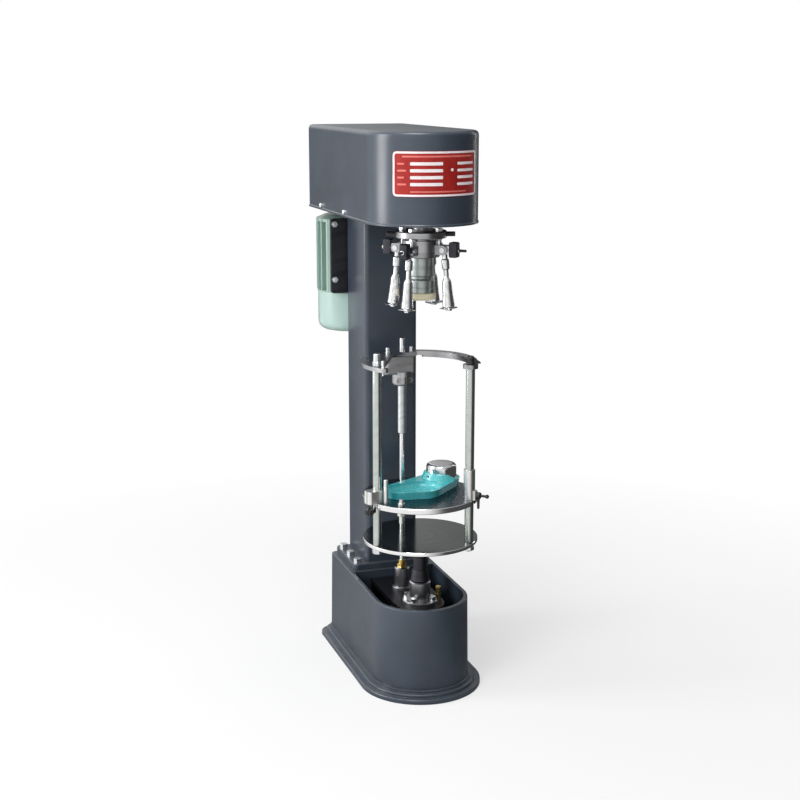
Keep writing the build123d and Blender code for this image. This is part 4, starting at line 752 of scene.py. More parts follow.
@dataclass
class HeadCover:
    """Drawn cover with a round top edge and a rolled rim, and the bare nameplate on its front."""

    wall: float = 2.5 * MM
    rim: float = 1.2 * MM
    rim_height: float = 3.0 * MM
    top_round: float = 9.0 * MM
    corner: float = 8.0 * MM
    crown: float = 0.0 * MM
    plate_angles: tuple[float, float] = (-48.0, 47.0)
    plate_heights: tuple[float, float] = (876 * MM, 949 * MM)
    plate_thickness: float = 0.8 * MM
    plate_corner: float = 7.0 * MM
    border_width: float = 3.2 * MM
    border_inset: float = 0.5 * MM
    bar_heights: tuple[float, ...] = (929 * MM, 918 * MM, 907 * MM, 896 * MM)

    def build(self) -> None:
        """Makes the cover and its nameplate."""
        low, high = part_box("head_cover")
        self.radius = high.x - self.rim
        self.bottom = low.z
        self.top = high.z
        self.back = high.y - self.rim
        self.shell()
        self.nameplate()

    def shell(self) -> None:
        """Closed profile from the top's middle, down the outside and up the inside again.

        The profile runs over the crown, round the top edge, down the wall and round the rolled
        rim, and then up the inner wall to the inner top. It is carried round the D plan.
        """
        height = self.top - self.bottom
        outside = (
            (self.radius, height, 0),
            (0, height, self.top_round),
            (0, self.rim_height + 1.5 * MM, 1.5 * MM),
            (-self.rim, self.rim_height, 1.0 * MM),
            (-self.rim, 0, 0.8 * MM),
            (self.wall, 0, 0.6 * MM),
            (self.wall, height - self.wall, self.top_round - self.wall),
            (self.radius, height - self.wall, 0),
        )
        plan = DPlan(self.radius, self.back, self.corner)
        cover = Patchwork("head_cover_shell")
        cover.add(carried(plan, eased(outside, 8)), shifted(z=self.bottom))
        piece = cover.build()
        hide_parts("head_cover")
        fitted_out(piece, "frame", Coat.CASTING.value)

    def wrapped(self, grid: np.ndarray) -> np.ndarray:
        """Flat grid (u, w, h) laid on the cover's front.

        Point = ((R + h) sin(u / R), -(R + h) cos(u / R), w), where R is the cover's radius.
        """
        turn = grid[..., 0] / self.radius
        reach = self.radius + grid[..., 2]
        return np.stack([reach * np.sin(turn), -reach * np.cos(turn), grid[..., 1]], axis=-1)

    def panel(self, left: float, right: float, low: float, high: float, lift: tuple, corner: float) -> np.ndarray:
        """Rounded flat panel between two angles and two heights, wrapped on the cover.

        Args:
            left: Angle of the left end, in degrees from the front.
            right: Angle of the right end.
            low: Height of the lower edge.
            high: Height of the upper edge.
            lift: Distances of the back and front faces from the cover.
            corner: Radius of the panel's corners.

        Returns:
            Grid of the closed panel.
        """
        width = math.radians(right - left) * self.radius
        plan = BoxPlan(width, high - low, corner, side_points=14)
        half = (high - low) / 2
        back, front = lift
        edge = eased(((0.6 * MM, back, 0), (0, back, 0), (0, front, 0.25 * MM), (0.6 * MM, front, 0)), 4)
        inward = np.linspace(0.6 * MM, half, 12)[1:]
        under = np.stack([inward[::-1], np.full(11, back)], axis=1)
        over = np.stack([inward, np.full(11, front)], axis=1)
        flat = carried(plan, np.concatenate([under, edge, over]))
        middle = math.radians(left + right) / 2 * self.radius
        return self.wrapped(flat + np.array((middle, (low + high) / 2, 0)))

    def border(self) -> np.ndarray:
        """Thin raised frame just inside the plate's edge: a small section carried round it."""
        left, right = self.plate_angles
        low, high = self.plate_heights
        width = math.radians(right - left) * self.radius
        plan = BoxPlan(width, high - low, self.plate_corner, side_points=14)
        inner = self.border_inset + self.border_width
        face = self.plate_thickness
        section = np.array(
            (
                (self.border_inset, face - 0.2 * MM),
                (self.border_inset, face + 0.2 * MM),
                (inner, face + 0.2 * MM),
                (inner, face - 0.2 * MM),
            )
        )
        flat = carried(plan, section)
        middle = math.radians(left + right) / 2 * self.radius
        return self.wrapped(flat + np.array((middle, (low + high) / 2, 0)))

    def nameplate(self) -> None:
        """Red plate with a white border and plain bars, without any lettering."""
        face = self.plate_thickness
        left, right = self.plate_angles
        low, high = self.plate_heights
        plate = Patchwork("nameplate")
        plate.add(self.panel(left, right, low, high, (0.02 * MM, face), self.plate_corner))
        piece = plate.build()
        fitted_out(piece, "frame", RED_ENAMEL)
        marks = Patchwork("nameplate_bars")
        marks.add(self.border(), ring=True)
        raised = (face - 0.2 * MM, face + 0.15 * MM)
        for middle in self.bar_heights:
            marks.add(self.panel(-30, 2, middle - 2.6 * MM, middle + 2.6 * MM, raised, 1.2 * MM))
            marks.add(self.panel(18, 41, middle - 2.2 * MM, middle + 2.2 * MM, raised, 1.2 * MM))
        marks.add(self.panel(10.5, 13.5, 916.5 * MM, 921.5 * MM, raised, 2.4 * MM))
        fitted_out(marks.build(), "frame", WHITE_ENAMEL)
        dull = Patchwork("nameplate_marks")
        for number, middle in enumerate(self.bar_heights):
            end = -36 + 2 * (number % 2)
            dull.add(self.panel(-43, end, middle - 1.5 * MM, middle + 1.5 * MM, raised, 1.0 * MM))
        dull.add(self.panel(-38, 38, 939 * MM, 942 * MM, raised, 1.2 * MM))
        dull.add(self.panel(-30, 30, 883 * MM, 885.4 * MM, raised, 1.0 * MM))
        fitted_out(dull.build(), "frame", ROSE_ENAMEL)


RED_ENAMEL = Moulding("red_enamel", tint(0.56, 0.06, 0.04), tint(0.66, 0.16, 0.13), 0.4, coat=0.1)
WHITE_ENAMEL = Moulding("white_enamel", tint(0.95, 0.92, 0.93), tint(0.86, 0.8, 0.82), 0.3, coat=0.4)
ROSE_ENAMEL = Moulding("rose_enamel", tint(0.86, 0.45, 0.42), tint(0.78, 0.35, 0.33), 0.3, coat=0.4)


# Capping head


@dataclass
class CappingHead:
    """Four closing levers with their studs and rollers, turned and threaded."""

    pivot_radius: float = 44 * MM
    pivot_z: float = 782 * MM
    lean: float = 5.0
    leg_length: float = 96 * MM
    block_inner: float = 54.5 * MM
    block_outer: float = 69 * MM
    block_height: float = 26 * MM
    block_width: float = 14 * MM
    hub_radius: float = 7.5 * MM
    hub_width: float = 9 * MM
    finger_end: float = 20 * MM
    finger_tip: float = 3 * MM
    finger_neck: float = 2.4 * MM
    stud_radius: float = 2.4 * MM
    stud_end: float = 84 * MM
    roller_radius: float = 16 * MM

    def build(self) -> None:
        """Makes the four levers, their studs and their rollers."""
        for number, angle in enumerate(LEVER_ANGLES, start=1):
            about = turned_about("Z", angle)
            self.lever(number, about)
            self.stud(number, about)
            self.roller(number, about)

    def leg_place(self, about: np.ndarray) -> np.ndarray:
        """Place at a lever's pivot whose -Z runs down the leaning leg."""
        return about @ shifted(self.pivot_radius, 0, self.pivot_z) @ turned_about("Y", -self.lean)

    def lever(self, number: int, about: np.ndarray) -> None:
        """Hub, finger, round-edged block and a turned leg that flares into a bell."""
        end = -self.leg_length
        leg = (
            (0, -2 * MM, 0),
            (4.4 * MM, -2 * MM, 0),
            (4.4 * MM, -14.5 * MM, 1 * MM),
            (6.6 * MM, -17 * MM, 1 * MM),
            (6.6 * MM, -31 * MM, 1 * MM),
            (4.2 * MM, -34 * MM, 1 * MM),
            (4.2 * MM, -46 * MM, 5 * MM),
            (7.6 * MM, -53 * MM, 9 * MM),
            (8.9 * MM, -76 * MM, 20 * MM),
            (10.5 * MM, end + 2 * MM, 2 * MM),
            (10.2 * MM, end, 0.8 * MM),
            (3.0 * MM, end, 0),
            (3.0 * MM, end - 4.6 * MM, 0),
            (5.5 * MM, end - 4.6 * MM, 0.4 * MM),
            (5.2 * MM, end - 7 * MM, 0.8 * MM),
            (0, end - 7 * MM, 0),
        )
        piece = Patchwork(f"closing_lever_{number}")
        piece.add(turned(eased(leg, 6)), self.leg_place(about))
        hub_profile = self.drum(self.hub_radius, self.hub_width, 0.8 * MM)
        across = about @ shifted(self.pivot_radius, 0, self.pivot_z) @ turned_about("X", 90)
        piece.add(turned(hub_profile), across)
        finger_length = self.pivot_radius - self.finger_end
        finger = BoxPlan(finger_length, 8 * MM, 1.5 * MM)
        reach = self.finger_end + finger_length / 2
        piece.add(
            self.slab(finger, 2 * self.finger_neck, 0.8 * MM, 4 * MM),
            about @ shifted(reach, 0, self.pivot_z - self.finger_neck),
        )
        tip = self.drum(self.finger_tip, 8 * MM, 0.5 * MM)
        piece.add(turned(tip), about @ shifted(self.finger_end, 0, self.pivot_z) @ turned_about("X", 90))
        web = BoxPlan(self.block_inner + 2 * MM - self.pivot_radius, self.hub_width, 1 * MM)
        middle = (self.pivot_radius + self.block_inner + 2 * MM) / 2
        piece.add(
            self.slab(web, 14 * MM, 0.8 * MM, 4.5 * MM),
            about @ shifted(middle, 0, self.pivot_z - 7 * MM),
        )
        self.block(number, about)
        nut = eased(
            (
                (3.6 * MM, 0, 0),
                (0, 0, 0.4 * MM),
                (0, 3.2 * MM, 0.6 * MM),
                (1.4 * MM, 3.6 * MM, 0),
                (3.6 * MM, 3.6 * MM, 0),
            ),
            4,
        )
        piece.add(
            carried(HexPlan(7.2 * MM), nut),
            about @ shifted(self.block_outer - 0.1 * MM, 0, self.pivot_z) @ turned_about("Y", 90),
        )
        made = piece.build()
        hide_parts(f"lever_{number}")
        fitted_out(made, f"lever_arm_{number}", Coat.CHROME.value)

    def block(self, number: int, about: np.ndarray) -> None:
        """Dark round-edged block at a lever's outer end, which takes the adjusting stud."""
        width = self.block_outer - self.block_inner
        plan = BoxPlan(width, self.block_height, 3 * MM)
        block = Patchwork(f"stud_block_{number}")
        block.add(
            self.slab(plan, self.block_width, 1.2 * MM, width / 2),
            about
            @ shifted((self.block_inner + self.block_outer) / 2, self.block_width / 2, self.pivot_z + 1 * MM)
            @ turned_about("X", 90),
        )
        fitted_out(block.build(), f"lever_arm_{number}", Coat.IRON.value)

    @staticmethod
    def drum(radius: float, width: float, easing: float) -> np.ndarray:
        """Profile of a short cylinder with eased edges, centred on its axis."""
        half = width / 2
        return eased(((0, -half, 0), (radius, -half, easing), (radius, half, easing), (0, half, 0)), 4)

    @staticmethod
    def slab(plan: Outline, height: float, easing: float, middle: float) -> np.ndarray:
        """Block of a plan and a height, with its upper and lower edges eased.

        Args:
            plan: Outline of the block.
            height: Its thickness along Z, from 0.
            easing: Radius of the edges.
            middle: Inset at which the plan has shrunk to its middle.

        Returns:
            Grid of the closed block.
        """
        corners = ((middle, 0, 0), (0, 0, easing), (0, height, easing), (middle, height, 0))
        return carried(plan, eased(corners, 4))

    def stud(self, number: int, about: np.ndarray) -> None:
        """Black adjusting stud with a real thread."""
        start = self.block_inner + 2.5 * MM
        stud = Patchwork(f"adjusting_stud_{number}")
        stud.add(
            threaded(self.stud_radius, 0.9 * MM, start, self.stud_end),
            about @ shifted(0, 0, self.pivot_z) @ turned_about("Y", 90),
        )
        made = stud.build()
        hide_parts(f"lever_stud_{number}")
        fitted_out(made, f"lever_arm_{number}", Coat.BLACK_STEEL.value)

    def roller(self, number: int, about: np.ndarray) -> None:
        """Thin roller whose disc tapers to a sharp rounded edge."""
        top = -self.leg_length - 0.3 * MM
        low = top - 4 * MM
        middle = (top + low) / 2
        rim = self.roller_radius
        section = (
            (3.05 * MM, low, 0),
            (6 * MM, low, 0.4 * MM),
            (6 * MM, middle - 0.9 * MM, 0.5 * MM),
            (rim - 3 * MM, middle - 0.9 * MM, 1 * MM),
            (rim, middle, 0.3 * MM),
            (rim - 3 * MM, middle + 0.9 * MM, 1 * MM),
            (6 * MM, middle + 0.9 * MM, 0.5 * MM),
            (6 * MM, top, 0.4 * MM),
            (3.05 * MM, top, 0),
        )
        roller = Patchwork(f"closing_disc_{number}")
        roller.add(turned(eased(section, 4), 64), self.leg_place(about), ring=True)
        made = roller.build()
        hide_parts(f"roller_{number}")
        fitted_out(made, f"closing_roller_{number}", Coat.CHROME.value)


@dataclass
class PressHead:
    """Stepped press nose and the dished cream head that meets the cap."""

    nose: tuple = (
        (0, 708, 0),
        (24, 708, 1.0),
        (24, 716, 0.3),
        (23.4, 716.6, 0.3),
        (23.4, 717.6, 0.3),
        (24, 718.2, 0.3),
        (24, 729.5, 1.5),
        (21, 732, 0.8),
        (19, 733, 0.8),
        (19, 735.5, 1.5),
        (22, 737.5, 1.5),
        (22, 773.8, 2.0),
        (8.05, 773.8, 0),
        (8.05, 743.5, 0),
        (0, 743.5, 0),
    )
    pad: tuple = (
        (0, 700, 0),
        (15, 700, 2.0),
        (17.2, 696, 0.6),
        (22.5, 696, 0),
        (26, 699, 2.5),
        (26, 706.2, 1.2),
        (24.4, 708, 0.4),
        (0, 708, 0),
    )

    def build(self) -> None:
        """Turns both about the spindle's axis."""
        for name, node, rows, finish, slot in (
            ("turned_nose", "press_nose", self.nose, NOSE_STEEL, "turned_steel"),
            ("cap_pad", "press_pad", self.pad, Coat.CREAM.value, "cream_plastic"),
        ):
            piece = Patchwork(name).add(turned(eased(rows, 5) * MM, 96)).build()
            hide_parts(node)
            fitted_out(piece, "press", finish)


# Carriage


@dataclass
class CarriageFasteners:
    """Bright nuts, studs and screws on the carriage; sizes in millimetres."""

    arm_top: float = 590.0
    nuts: tuple = ((-88.5, -30.0), (68.0, -63.0))
    nut_low: float = 259.5
    nut_high: float = 267.5
    cap_nut: tuple = (-88.5, -30.0)
    studs: tuple = (
        (-6.0, 82.0, 4.6, 615.0, 3.5),
        (-33.0, 82.0, 3.6, 599.0, 2.4),
        (11.0, 82.0, 3.6, 599.0, 2.4),
        (-84.0, -50.47, 3.2, 603.0, 2.4),
        (87.33, -21.77, 4.0, 593.0, 1.2),
    )
    shank: float = 2.5
    shank_end: float = 577.0

    def build(self) -> None:
        """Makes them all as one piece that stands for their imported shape."""
        piece = Patchwork("carriage_fasteners")
        for x, y in self.nuts:
            piece.add(self.nut(17.0, self.nut_low, self.nut_high), shifted(x * MM, y * MM))
        x, y = self.cap_nut
        place = shifted(x * MM, y * MM)
        top = self.arm_top
        piece.add(self.nut(14.0, top, top + 8), place)
        piece.add(turned(eased(((0, top + 7, 0), (6, top + 7, 0), (6, top + 22, 5), (0, top + 22, 0)), 9) * MM), place)
        for x, y, radius, high, crown in self.studs:
            head = (
                (0, top - 0.01, 0),
                (radius, top - 0.01, 0.2),
                (radius, top + 1.2, 0.2),
                (radius - 0.4, top + 1.6, 0.2),
                (radius - 0.4, high, crown),
                (0, high, 0),
            )
            piece.add(turned(eased(head, 7) * MM), shifted(x * MM, y * MM))
            if high < 610:
                shank = threaded(self.shank * MM, 0.8 * MM, self.shank_end * MM, (top + 0.5) * MM)
                piece.add(shank, shifted(x * MM, y * MM))
        made = piece.build()
        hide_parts("carriage_nuts")
        fitted_out(made, "carriage", Coat.ZINC.value)

    @staticmethod
    def nut(flats: float, low: float, high: float) -> np.ndarray:
        """Hexagon nut, chamfered above and below."""
        half = flats / 2
        rows = (
            (half, low, 0),
            (1.0, low, 0.3),
            (0, low + 0.7, 0.2),
            (0, high - 0.7, 0.2),
            (1.0, high, 0.3),
            (half, high, 0),
        )
        return carried(HexPlan(flats * MM), eased(rows, 3) * MM)


@dataclass
class Carriage:
    """Pillars and upright studs with real threads and rounded ends."""

    pillars: tuple = ((-88.5 * MM, -30 * MM), (68 * MM, -63 * MM))
    pillar_radius: float = 7.7 * MM
    pillar_bottom: float = 274 * MM
    pillar_top: float = 583 * MM
    thread_radius: float = 5 * MM
    thread_low: float = 257.5 * MM
    thread_high: float = 602 * MM

    def build(self) -> None:
        """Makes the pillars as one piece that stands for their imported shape."""
        pillars = Patchwork("carriage_pillars")
        ease = 0.8 * MM
        shank = (
            (0, self.pillar_bottom, 0),
            (self.pillar_radius, self.pillar_bottom, ease),
            (self.pillar_radius, self.pillar_top, ease),
            (0, self.pillar_top, 0),
        )
        for x, y in self.pillars:
            pillars.add(turned(eased(shank, 5), 64), shifted(x, y))
            pillars.add(threaded(self.thread_radius, 1.5 * MM, self.thread_low, self.pillar_bottom), shifted(x, y))
            pillars.add(threaded(self.thread_radius, 1.5 * MM, self.pillar_top, self.thread_high), shifted(x, y))
        made = pillars.build()
        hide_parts("pillars")
        fitted_out(made, "carriage", PILLAR_CHROME)


# Table


def supported(circles: np.ndarray, turn: np.ndarray) -> np.ndarray:
    """Support of the hull of circles (x, y, radius): the largest of centre . normal + radius."""
    normal = np.stack([np.cos(turn), np.sin(turn)])
    return (circles[:, :2] @ normal + circles[:, 2:]).max(axis=0)


def crossed(circles: np.ndarray, middle: np.ndarray, turn: np.ndarray) -> tuple[np.ndarray, np.ndarray]:
    """Where rays from a point enter and leave the hull of circles.

    The hull is all x with x . n <= support(n), so a ray along u leaves it at the least of
    (support - middle . n) / (u . n) where u . n > 0, and enters it at the largest where u . n < 0.

    Args:
        circles: Rows of (x, y, radius).
        middle: Point that the rays start from.
        turn: Angle of each ray.

    Returns:
        Distances at which each ray enters and leaves; they are equal where it misses.
    """
    normals = np.linspace(0, 2 * math.pi, 1440, endpoint=False)
    room = supported(circles, normals) - (middle @ np.stack([np.cos(normals), np.sin(normals)]))
    facing = np.cos(turn[:, None] - normals[None])
    reach = room[None] / np.where(np.abs(facing) < 1e-6, 1e-6, facing)
    leaves = np.where(facing > 1e-6, reach, np.inf).min(axis=1)
    enters = np.where(facing < -1e-6, reach, -np.inf).max(axis=1)
    return np.minimum(enters, leaves), leaves


@dataclass
class BottleLocator:
    """Moulded tongue with a dish and an open mouth, whose collar turns on a round steel post.

    Its top is a height over the plan: max(min(plate - dish, mouth), min(flare, slope)), with
    corners eased by 0.5 (a + b + sqrt((a - b)^2 + e^2)). Sizes are in millimetres.
    """

    post: tuple = (54.0, 40.0)
    seat: float = 352.3
    lobes: tuple = ((-38.0, -8.0, 30.0), (0.0, -8.0, 36.0))
    ring: float = 33.05
    bore: float = 27.05
    height: float = 14.0
    draft: float = 2.98
    rim: float = 3.5
    dish: float = 9.0
    dish_round: float = 7.0
    mouth: tuple = (-53.0, -8.0, 22.0, 31.0)
    slope: float = 30.0
    slope_height: float = 17.0
    flare_radii: tuple = (28.0, 30.05, 31.55, 32.2, 33.0, 34.0, 35.05, 36.5, 38.0, 40.0, 42.0, 44.05)
    flare_heights: tuple = (25.0, 25.0, 23.0, 21.0, 18.7, 16.2, 14.0, 11.6, 9.3, 7.0, 5.5, 4.0)
    post_radius: float = 27.0
    post_height: float = 40.0
    screw_angle: float = 203.0
    screw_height: float = 18.7

    def build(self) -> None:
        """Makes the locator, its grub screw and the post."""
        locator = Patchwork("moulded_locator").add(self.grid() * MM, ring=True).build()
        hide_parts("bottle_locator")
        fitted_out(locator, "locator", Coat.TEAL.value)
        x, y = self.post
        screw_rows = ((0, 29, 0), (2.9, 29, 0), (2.9, 33.3, 0.3), (1.4, 33.3, 0), (1.4, 31.5, 0), (0, 31.5, 0))
        aim = shifted(x * MM, y * MM, (self.seat + self.screw_height) * MM)
        aim = aim @ turned_about("Z", self.screw_angle) @ turned_about("Y", 90)
        screw = Patchwork("locator_screw").add(turned(eased(screw_rows) * MM, 32), aim).build()
        fitted_out(screw, "locator", Coat.IRON.value)
        radius = self.post_radius
        low = self.seat - 0.3
        high = low + self.post_height
        dome = turned(eased(((0, low, 0), (radius, low, 0.4), (radius, high, 8), (0, high, 0)), 12) * MM, 96)
        post = Patchwork("domed_post").add(dome, shifted(x * MM, y * MM)).build()
        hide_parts("locator_post")
        fitted_out(post, "bottle_table", Coat.CHROME.value)

    def rays(self) -> np.ndarray:
        """Angles about the post: close together where the rays graze the dish."""
        across = np.array(self.lobes)[:, :2] - np.array(self.post)
        away = np.arctan2(across[:, 1], across[:, 0]) % (2 * math.pi)
        half = np.arcsin((np.array(self.lobes)[:, 2] - self.rim) / np.hypot(*across.T))
        low = (away - half).min()
        high = (away + half).max()
        sweep = np.sin(np.linspace(-math.pi / 2, math.pi / 2, 145))
        inner = (low + high) / 2 + (high - low) / 2 * sweep
        outer = np.linspace(high, low + 2 * math.pi, 122)[1:-1]
        return np.concatenate([inner, outer])

    def top(self, x: np.ndarray, y: np.ndarray, depth: np.ndarray) -> np.ndarray:
        """Height of the upper side at points of the plan, below which the dish goes by depth."""
        mouth_x, mouth_y, radius, middle = self.mouth
        offset = np.clip((y - mouth_y) / radius, -1, 1)
        mouth = np.where((x < mouth_x) & (np.abs(offset) < 1), middle - radius * np.sqrt(1 - offset**2), 99.0)
        plate = np.minimum(self.height - depth, mouth)
        across = x - self.post[0]
        along = y - self.post[1]
        flare = np.interp(np.hypot(across, along), self.flare_radii, self.flare_heights)
        aim = math.atan2(self.lobes[0][1] - self.post[1], self.lobes[0][0] - self.post[0])
        ramp = math.tan(math.radians(self.slope)) * (across * math.cos(aim) + along * math.sin(aim))
        ramp = ramp + self.slope_height
        collar = (flare + ramp - np.sqrt((flare - ramp) ** 2 + 0.8)) / 2
        return (plate + collar + np.sqrt((plate - collar) ** 2 + 0.05)) / 2

    def grid(self) -> np.ndarray:
        """Rows from the foot's edge up the side, over the top and the dish, and down the bore."""
        turn = self.rays()
        middle = np.array(self.post)
        outline = np.array(((*self.post, self.ring), *self.lobes))
        inner = np.array(self.lobes) - np.array((0, 0, self.rim))
        side = crossed(outline, middle, turn)[1]
        foot = crossed(outline - np.array((0, 0, self.draft)), middle, turn)[1]
        enters, leaves = crossed(inner, middle, turn)
        missed = (leaves - enters < 1e-3) | (leaves < 0)
        leaves = np.where(missed, side - 0.8, leaves)
        enters = np.where(missed, side - 0.8, enters)
        share = (1 - np.cos(np.linspace(0, math.pi, 34)))[:, None] / 2
        floor = leaves * (1 - share) + enters * share
        edge = np.minimum(leaves + 0.35, side - 0.8)
        rim = (side - 0.8) * (1 - np.linspace(0, 1, 5)[:, None]) + edge * np.linspace(0, 1, 5)[:, None]
        near = np.minimum(enters - 0.35, side - 0.8)
        radii = np.concatenate([np.linspace(44, 30, 29), (29.2, 28.2, 27.4)])[:, None]
        near = np.concatenate([near[None], np.minimum(radii, near[None])])
        reach = np.concatenate([rim, floor, near])
        x = middle[0] + reach * np.cos(turn)
        y = middle[1] + reach * np.sin(turn)
        depth = np.zeros_like(reach)
        rows = slice(len(rim), len(rim) + len(floor))
        depth[rows] = np.where(missed, 0, self.dish_depth(x[rows], y[rows], inner))
        height = self.top(x, y, depth)
        crest = height[0]
        wall = np.stack([0 * crest, np.minimum(13.1, crest - 0.9), crest - 0.5, crest - 0.15])
        steps = np.stack([foot, side - 0.19, side - 0.05, side - 0.25])
        steps = np.concatenate([steps, reach, np.full((2, len(turn)), self.bore)])
        height = np.concatenate([wall, height, height[-1:] - 0.3, 0 * height[-1:]])
        points = [middle[0] + steps * np.cos(turn), middle[1] + steps * np.sin(turn), height + self.seat]
        return np.stack(points, axis=2)

    def dish_depth(self, x: np.ndarray, y: np.ndarray, inner: np.ndarray) -> np.ndarray:
        """Depth of the dish: 2 at its edge, then down a round of 7 to the floor."""
        normals = np.linspace(0, 2 * math.pi, 360, endpoint=False)
        walls = supported(inner, normals)
        reach = x[..., None] * np.cos(normals) + y[..., None] * np.sin(normals)
        inside = np.clip((walls - reach).min(axis=-1), 0, self.dish_round)
        drop = np.sqrt(self.dish_round**2 - (self.dish_round - inside) ** 2)
        return self.dish - self.dish_round + drop


COWL_PAINT = Paint(
    "cowl_paint", tint(0.65, 0.75, 0.72), tint(0.6, 0.7, 0.67), tint(0.85, 0.9, 0.88), 0.3, 0.4, dusty=0.1
)
LOWER_DISC_STEEL = RimHighlightDiscSteel(
    "lower_disc_steel", tint(0.44, 0.46, 0.45), tint(0.38, 0.4, 0.4), 0.08, depth=0.000001, radius=101.5 * MM
)
UPPER_DISC_STEEL = RimHighlightDiscSteel(
    "upper_disc_steel", tint(0.36, 0.4, 0.43), tint(0.3, 0.33, 0.36), 0.2, radius=101.5 * MM
)
SLEEVE_STEEL = Metal("sleeve_steel", tint(0.86, 0.88, 0.88), tint(0.7, 0.72, 0.72), 0.42)
ROD_CHROME = Metal("rod_chrome", tint(0.98, 0.98, 0.98), tint(0.9, 0.9, 0.9), 0.2, depth=0.000001)
NOSE_STEEL = Metal("nose_steel", tint(0.72, 0.75, 0.74), tint(0.55, 0.58, 0.57), 0.34)
PILLAR_CHROME = Metal(
    "pillar_chrome", tint(0.8, 0.82, 0.8), tint(0.68, 0.71, 0.69), 0.16, rings=600.0, depth=0.000001
)


# Studio


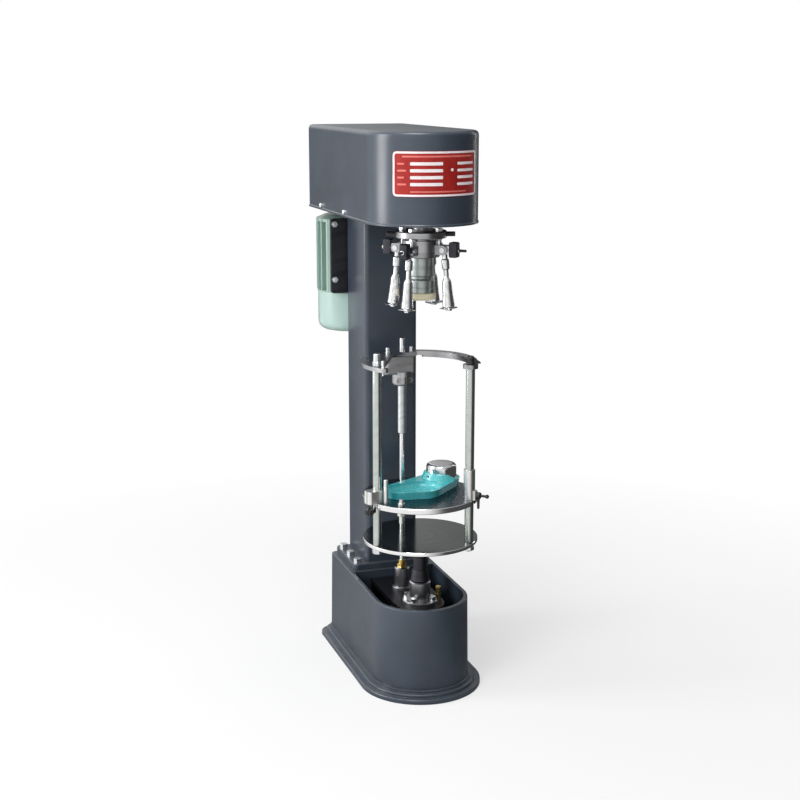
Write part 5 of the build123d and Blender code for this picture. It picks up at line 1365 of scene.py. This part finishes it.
@dataclass
class Studio:
    """Camera, lamps, floor and background round the machine."""

    image_width: int = 800
    focal_pixels: float = 1429.44
    sensor: float = 36.0
    eye: Triple = (-0.8021, -2.2828, 1.0586)
    azimuth: float = 18.52
    pitch: float = 12.57
    bright_side: Triple = (-0.951, -0.309, 0.0)
    backdrop: Triple = (-0.2, 0.93, 0.3)
    dark_glow: float = 0.07
    bright_glow: float = 1.05
    overhead_glow: float = 0.5
    soft_light: float = 0.34

    def build(self) -> None:
        """Makes all of the studio."""
        self.camera()
        self.background()
        self.floor()
        self.lamps()
        bpy.context.scene.view_settings.view_transform = "Standard"

    def camera(self) -> None:
        """Camera at the photograph's place, from its focal length in pixels."""
        data = bpy.data.cameras.new("camera")
        data.sensor_width = self.sensor
        data.lens = self.sensor * self.focal_pixels / self.image_width
        data.clip_end = 50
        camera = bpy.data.objects.new("camera", data)
        camera.location = self.eye
        camera.rotation_euler = (math.radians(90 - self.pitch), 0, math.radians(-self.azimuth))
        bpy.context.scene.collection.objects.link(camera)
        bpy.context.scene.camera = camera

    def background(self) -> None:
        """World that is white to the eye and to metal, and gives a plain level of light."""
        world = bpy.data.worlds.new("world")
        world.use_nodes = True
        bpy.context.scene.world = world
        tree = Tree(world.node_tree)
        world.node_tree.nodes.clear()
        paths = tree.add("LightPath").outputs
        seen = tree.math("MAXIMUM", paths["Is Camera Ray"], paths["Is Transmission Ray"])
        direction = tree.add("TexCoord").outputs["Generated"]
        parts = tree.add("SeparateXYZ", {0: direction}).outputs
        overhead = tree.fitted(parts[2], 0.35, 0.9, 0.0, self.overhead_glow)
        glow = tree.math("ADD", self.side_glow(tree, direction, 0.75), overhead)
        behind = tree.add("VectorMath", {0: direction, 1: self.backdrop}, operation="DOT_PRODUCT")
        behind = tree.fitted(behind.outputs["Value"], 0.8, 0.93, 0.0, 0.8)
        lifted = tree.fitted(parts[2], 0.02, 0.15, 0.0, 1.0)
        glow = tree.math("MULTIPLY_ADD", behind, lifted, glow)
        mirrored = tree.math("MULTIPLY", paths["Is Glossy Ray"], glow)
        strength = tree.math("MAXIMUM", seen, mirrored)
        soft = tree.math("MULTIPLY_ADD", paths["Is Glossy Ray"], -self.soft_light, self.soft_light)
        strength = tree.math("MAXIMUM", strength, soft)
        shade = tree.add("Background", {"Color": (1, 1, 1, 1), "Strength": strength})
        out = tree.add("OutputWorld")
        tree.tree.links.new(shade.outputs[0], out.inputs[0])

    def side_glow(self, tree: Tree, place: bpy.types.NodeSocket, reach: float) -> bpy.types.NodeSocket:
        """Light that metal and gloss mirror: bright on the left and dark on the right."""
        across = tree.add("VectorMath", {0: place, 1: self.bright_side}, operation="DOT_PRODUCT")
        return tree.fitted(across.outputs["Value"], -reach / 3, reach, self.dark_glow, self.bright_glow)

    def floor(self) -> None:
        """Pale floor that fades into the white background away from the machine."""
        turn = np.linspace(0, 2 * math.pi, 96, endpoint=False)
        radius = np.array((0.0, 1.0, 3.0, 9.0))[:, None]
        rows = np.stack([radius * np.cos(turn), radius * np.sin(turn), 0 * radius * turn], axis=2)
        mesh = bpy.data.meshes.new("floor")
        flat = rows.reshape(-1, 3)
        index = np.arange(len(flat)).reshape(rows.shape[:2])
        quads = np.stack(
            [index[:-1], np.roll(index, -1, 1)[:-1], np.roll(index, -1, 1)[1:], index[1:]], axis=2
        ).reshape(-1, 4)
        mesh.from_pydata(flat.tolist(), [], quads.tolist())
        floor = bpy.data.objects.new("floor", mesh)
        floor.location.z = -0.0004
        bpy.context.scene.collection.objects.link(floor)
        mesh.materials.append(self.floor_paint())

    def floor_paint(self) -> bpy.types.Material:
        """Matt white near the machine, and plain white light to the eye further out."""
        made = bpy.data.materials.new("pale_floor")
        made.use_nodes = True
        tree = Tree(made.node_tree)
        made.node_tree.nodes.clear()
        place = tree.add("TexCoord").outputs["Object"]
        away = tree.add("VectorMath", {0: place}, operation="LENGTH").outputs["Value"]
        far = tree.fitted(away, 0.3, 1.5, 0.55, 1.0)
        eye = tree.add("LightPath").outputs["Is Camera Ray"]
        share = tree.math("MULTIPLY", far, eye)
        matt = tree.add("BsdfDiffuse", {"Color": (0.9, 0.9, 0.9, 1)})
        light = tree.add("Emission", {"Color": (1, 1, 1, 1), "Strength": 1.0})
        mixed = tree.add("MixShader", {0: share, 1: matt.outputs[0], 2: light.outputs[0]})
        glow = tree.math("MULTIPLY", self.side_glow(tree, place, 0.5), 0.95)
        mirrored = tree.add("Emission", {"Color": (1, 1, 1, 1), "Strength": glow})
        glossy = tree.add("LightPath").outputs["Is Glossy Ray"]
        whole = tree.add("MixShader", {0: glossy, 1: mixed.outputs[0], 2: mirrored.outputs[0]})
        out = tree.add("OutputMaterial")
        tree.tree.links.new(whole.outputs[0], out.inputs[0])
        return made

    def lamps(self) -> None:
        """Soft boxes: a tall key at the left front, a window at the left, one above and a thin rim at the right
        behind.
        """
        self.soft_box("key", (-2.1, -1.7, 1.5), (1.2, 1.6), 36, mirrored=False)
        self.soft_box("window", (-2.35, 0.54, 1.25), (0.9, 1.8), 36)
        self.soft_box("top", (-0.5, -0.6, 2.6), (0.9, 0.7), 22)
        self.soft_box("rim", (2.0, 1.05, 1.1), (0.12, 1.6), 3)

    def soft_box(
        self, name: str, place: Triple, size: tuple[float, float], power: float, mirrored: bool = True
    ) -> None:
        """Area lamp that faces the middle of the machine.

        Args:
            name: Name of the lamp.
            place: Where it stands.
            size: Its width and height.
            power: Its power in watts.
            mirrored: Whether metal and gloss show it.
        """
        data = bpy.data.lights.new(name, "AREA")
        data.shape = "RECTANGLE"
        data.size, data.size_y = size
        data.energy = power
        lamp = bpy.data.objects.new(name, data)
        lamp.visible_glossy = mirrored
        towards = Matrix.Translation((0, 0.1, 0.5)).translation - Matrix.Translation(place).translation
        lamp.location = place
        lamp.rotation_euler = towards.to_track_quat("-Z", "Y").to_euler()
        bpy.context.scene.collection.objects.link(lamp)


def main() -> None:
    """Loads the frame, dresses it and adds the new pieces."""
    logging.basicConfig(level=logging.INFO, format="%(message)s")
    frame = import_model()
    Studio().build()
    special = {
        "fan_cowl": COWL_PAINT,
        "lower_disc": LOWER_DISC_STEEL,
        "upper_disc": UPPER_DISC_STEEL,
        "guide_sleeve": SLEEVE_STEEL,
        "guide_rod": ROD_CHROME,
    }
    PackedPieces(frame, special=special).dress()
    for assembly in (HeadCover(), CappingHead(), PressHead(), BottleLocator(), Carriage(), CarriageFasteners()):
        assembly.build()


if __name__ == "__main__":
    main()
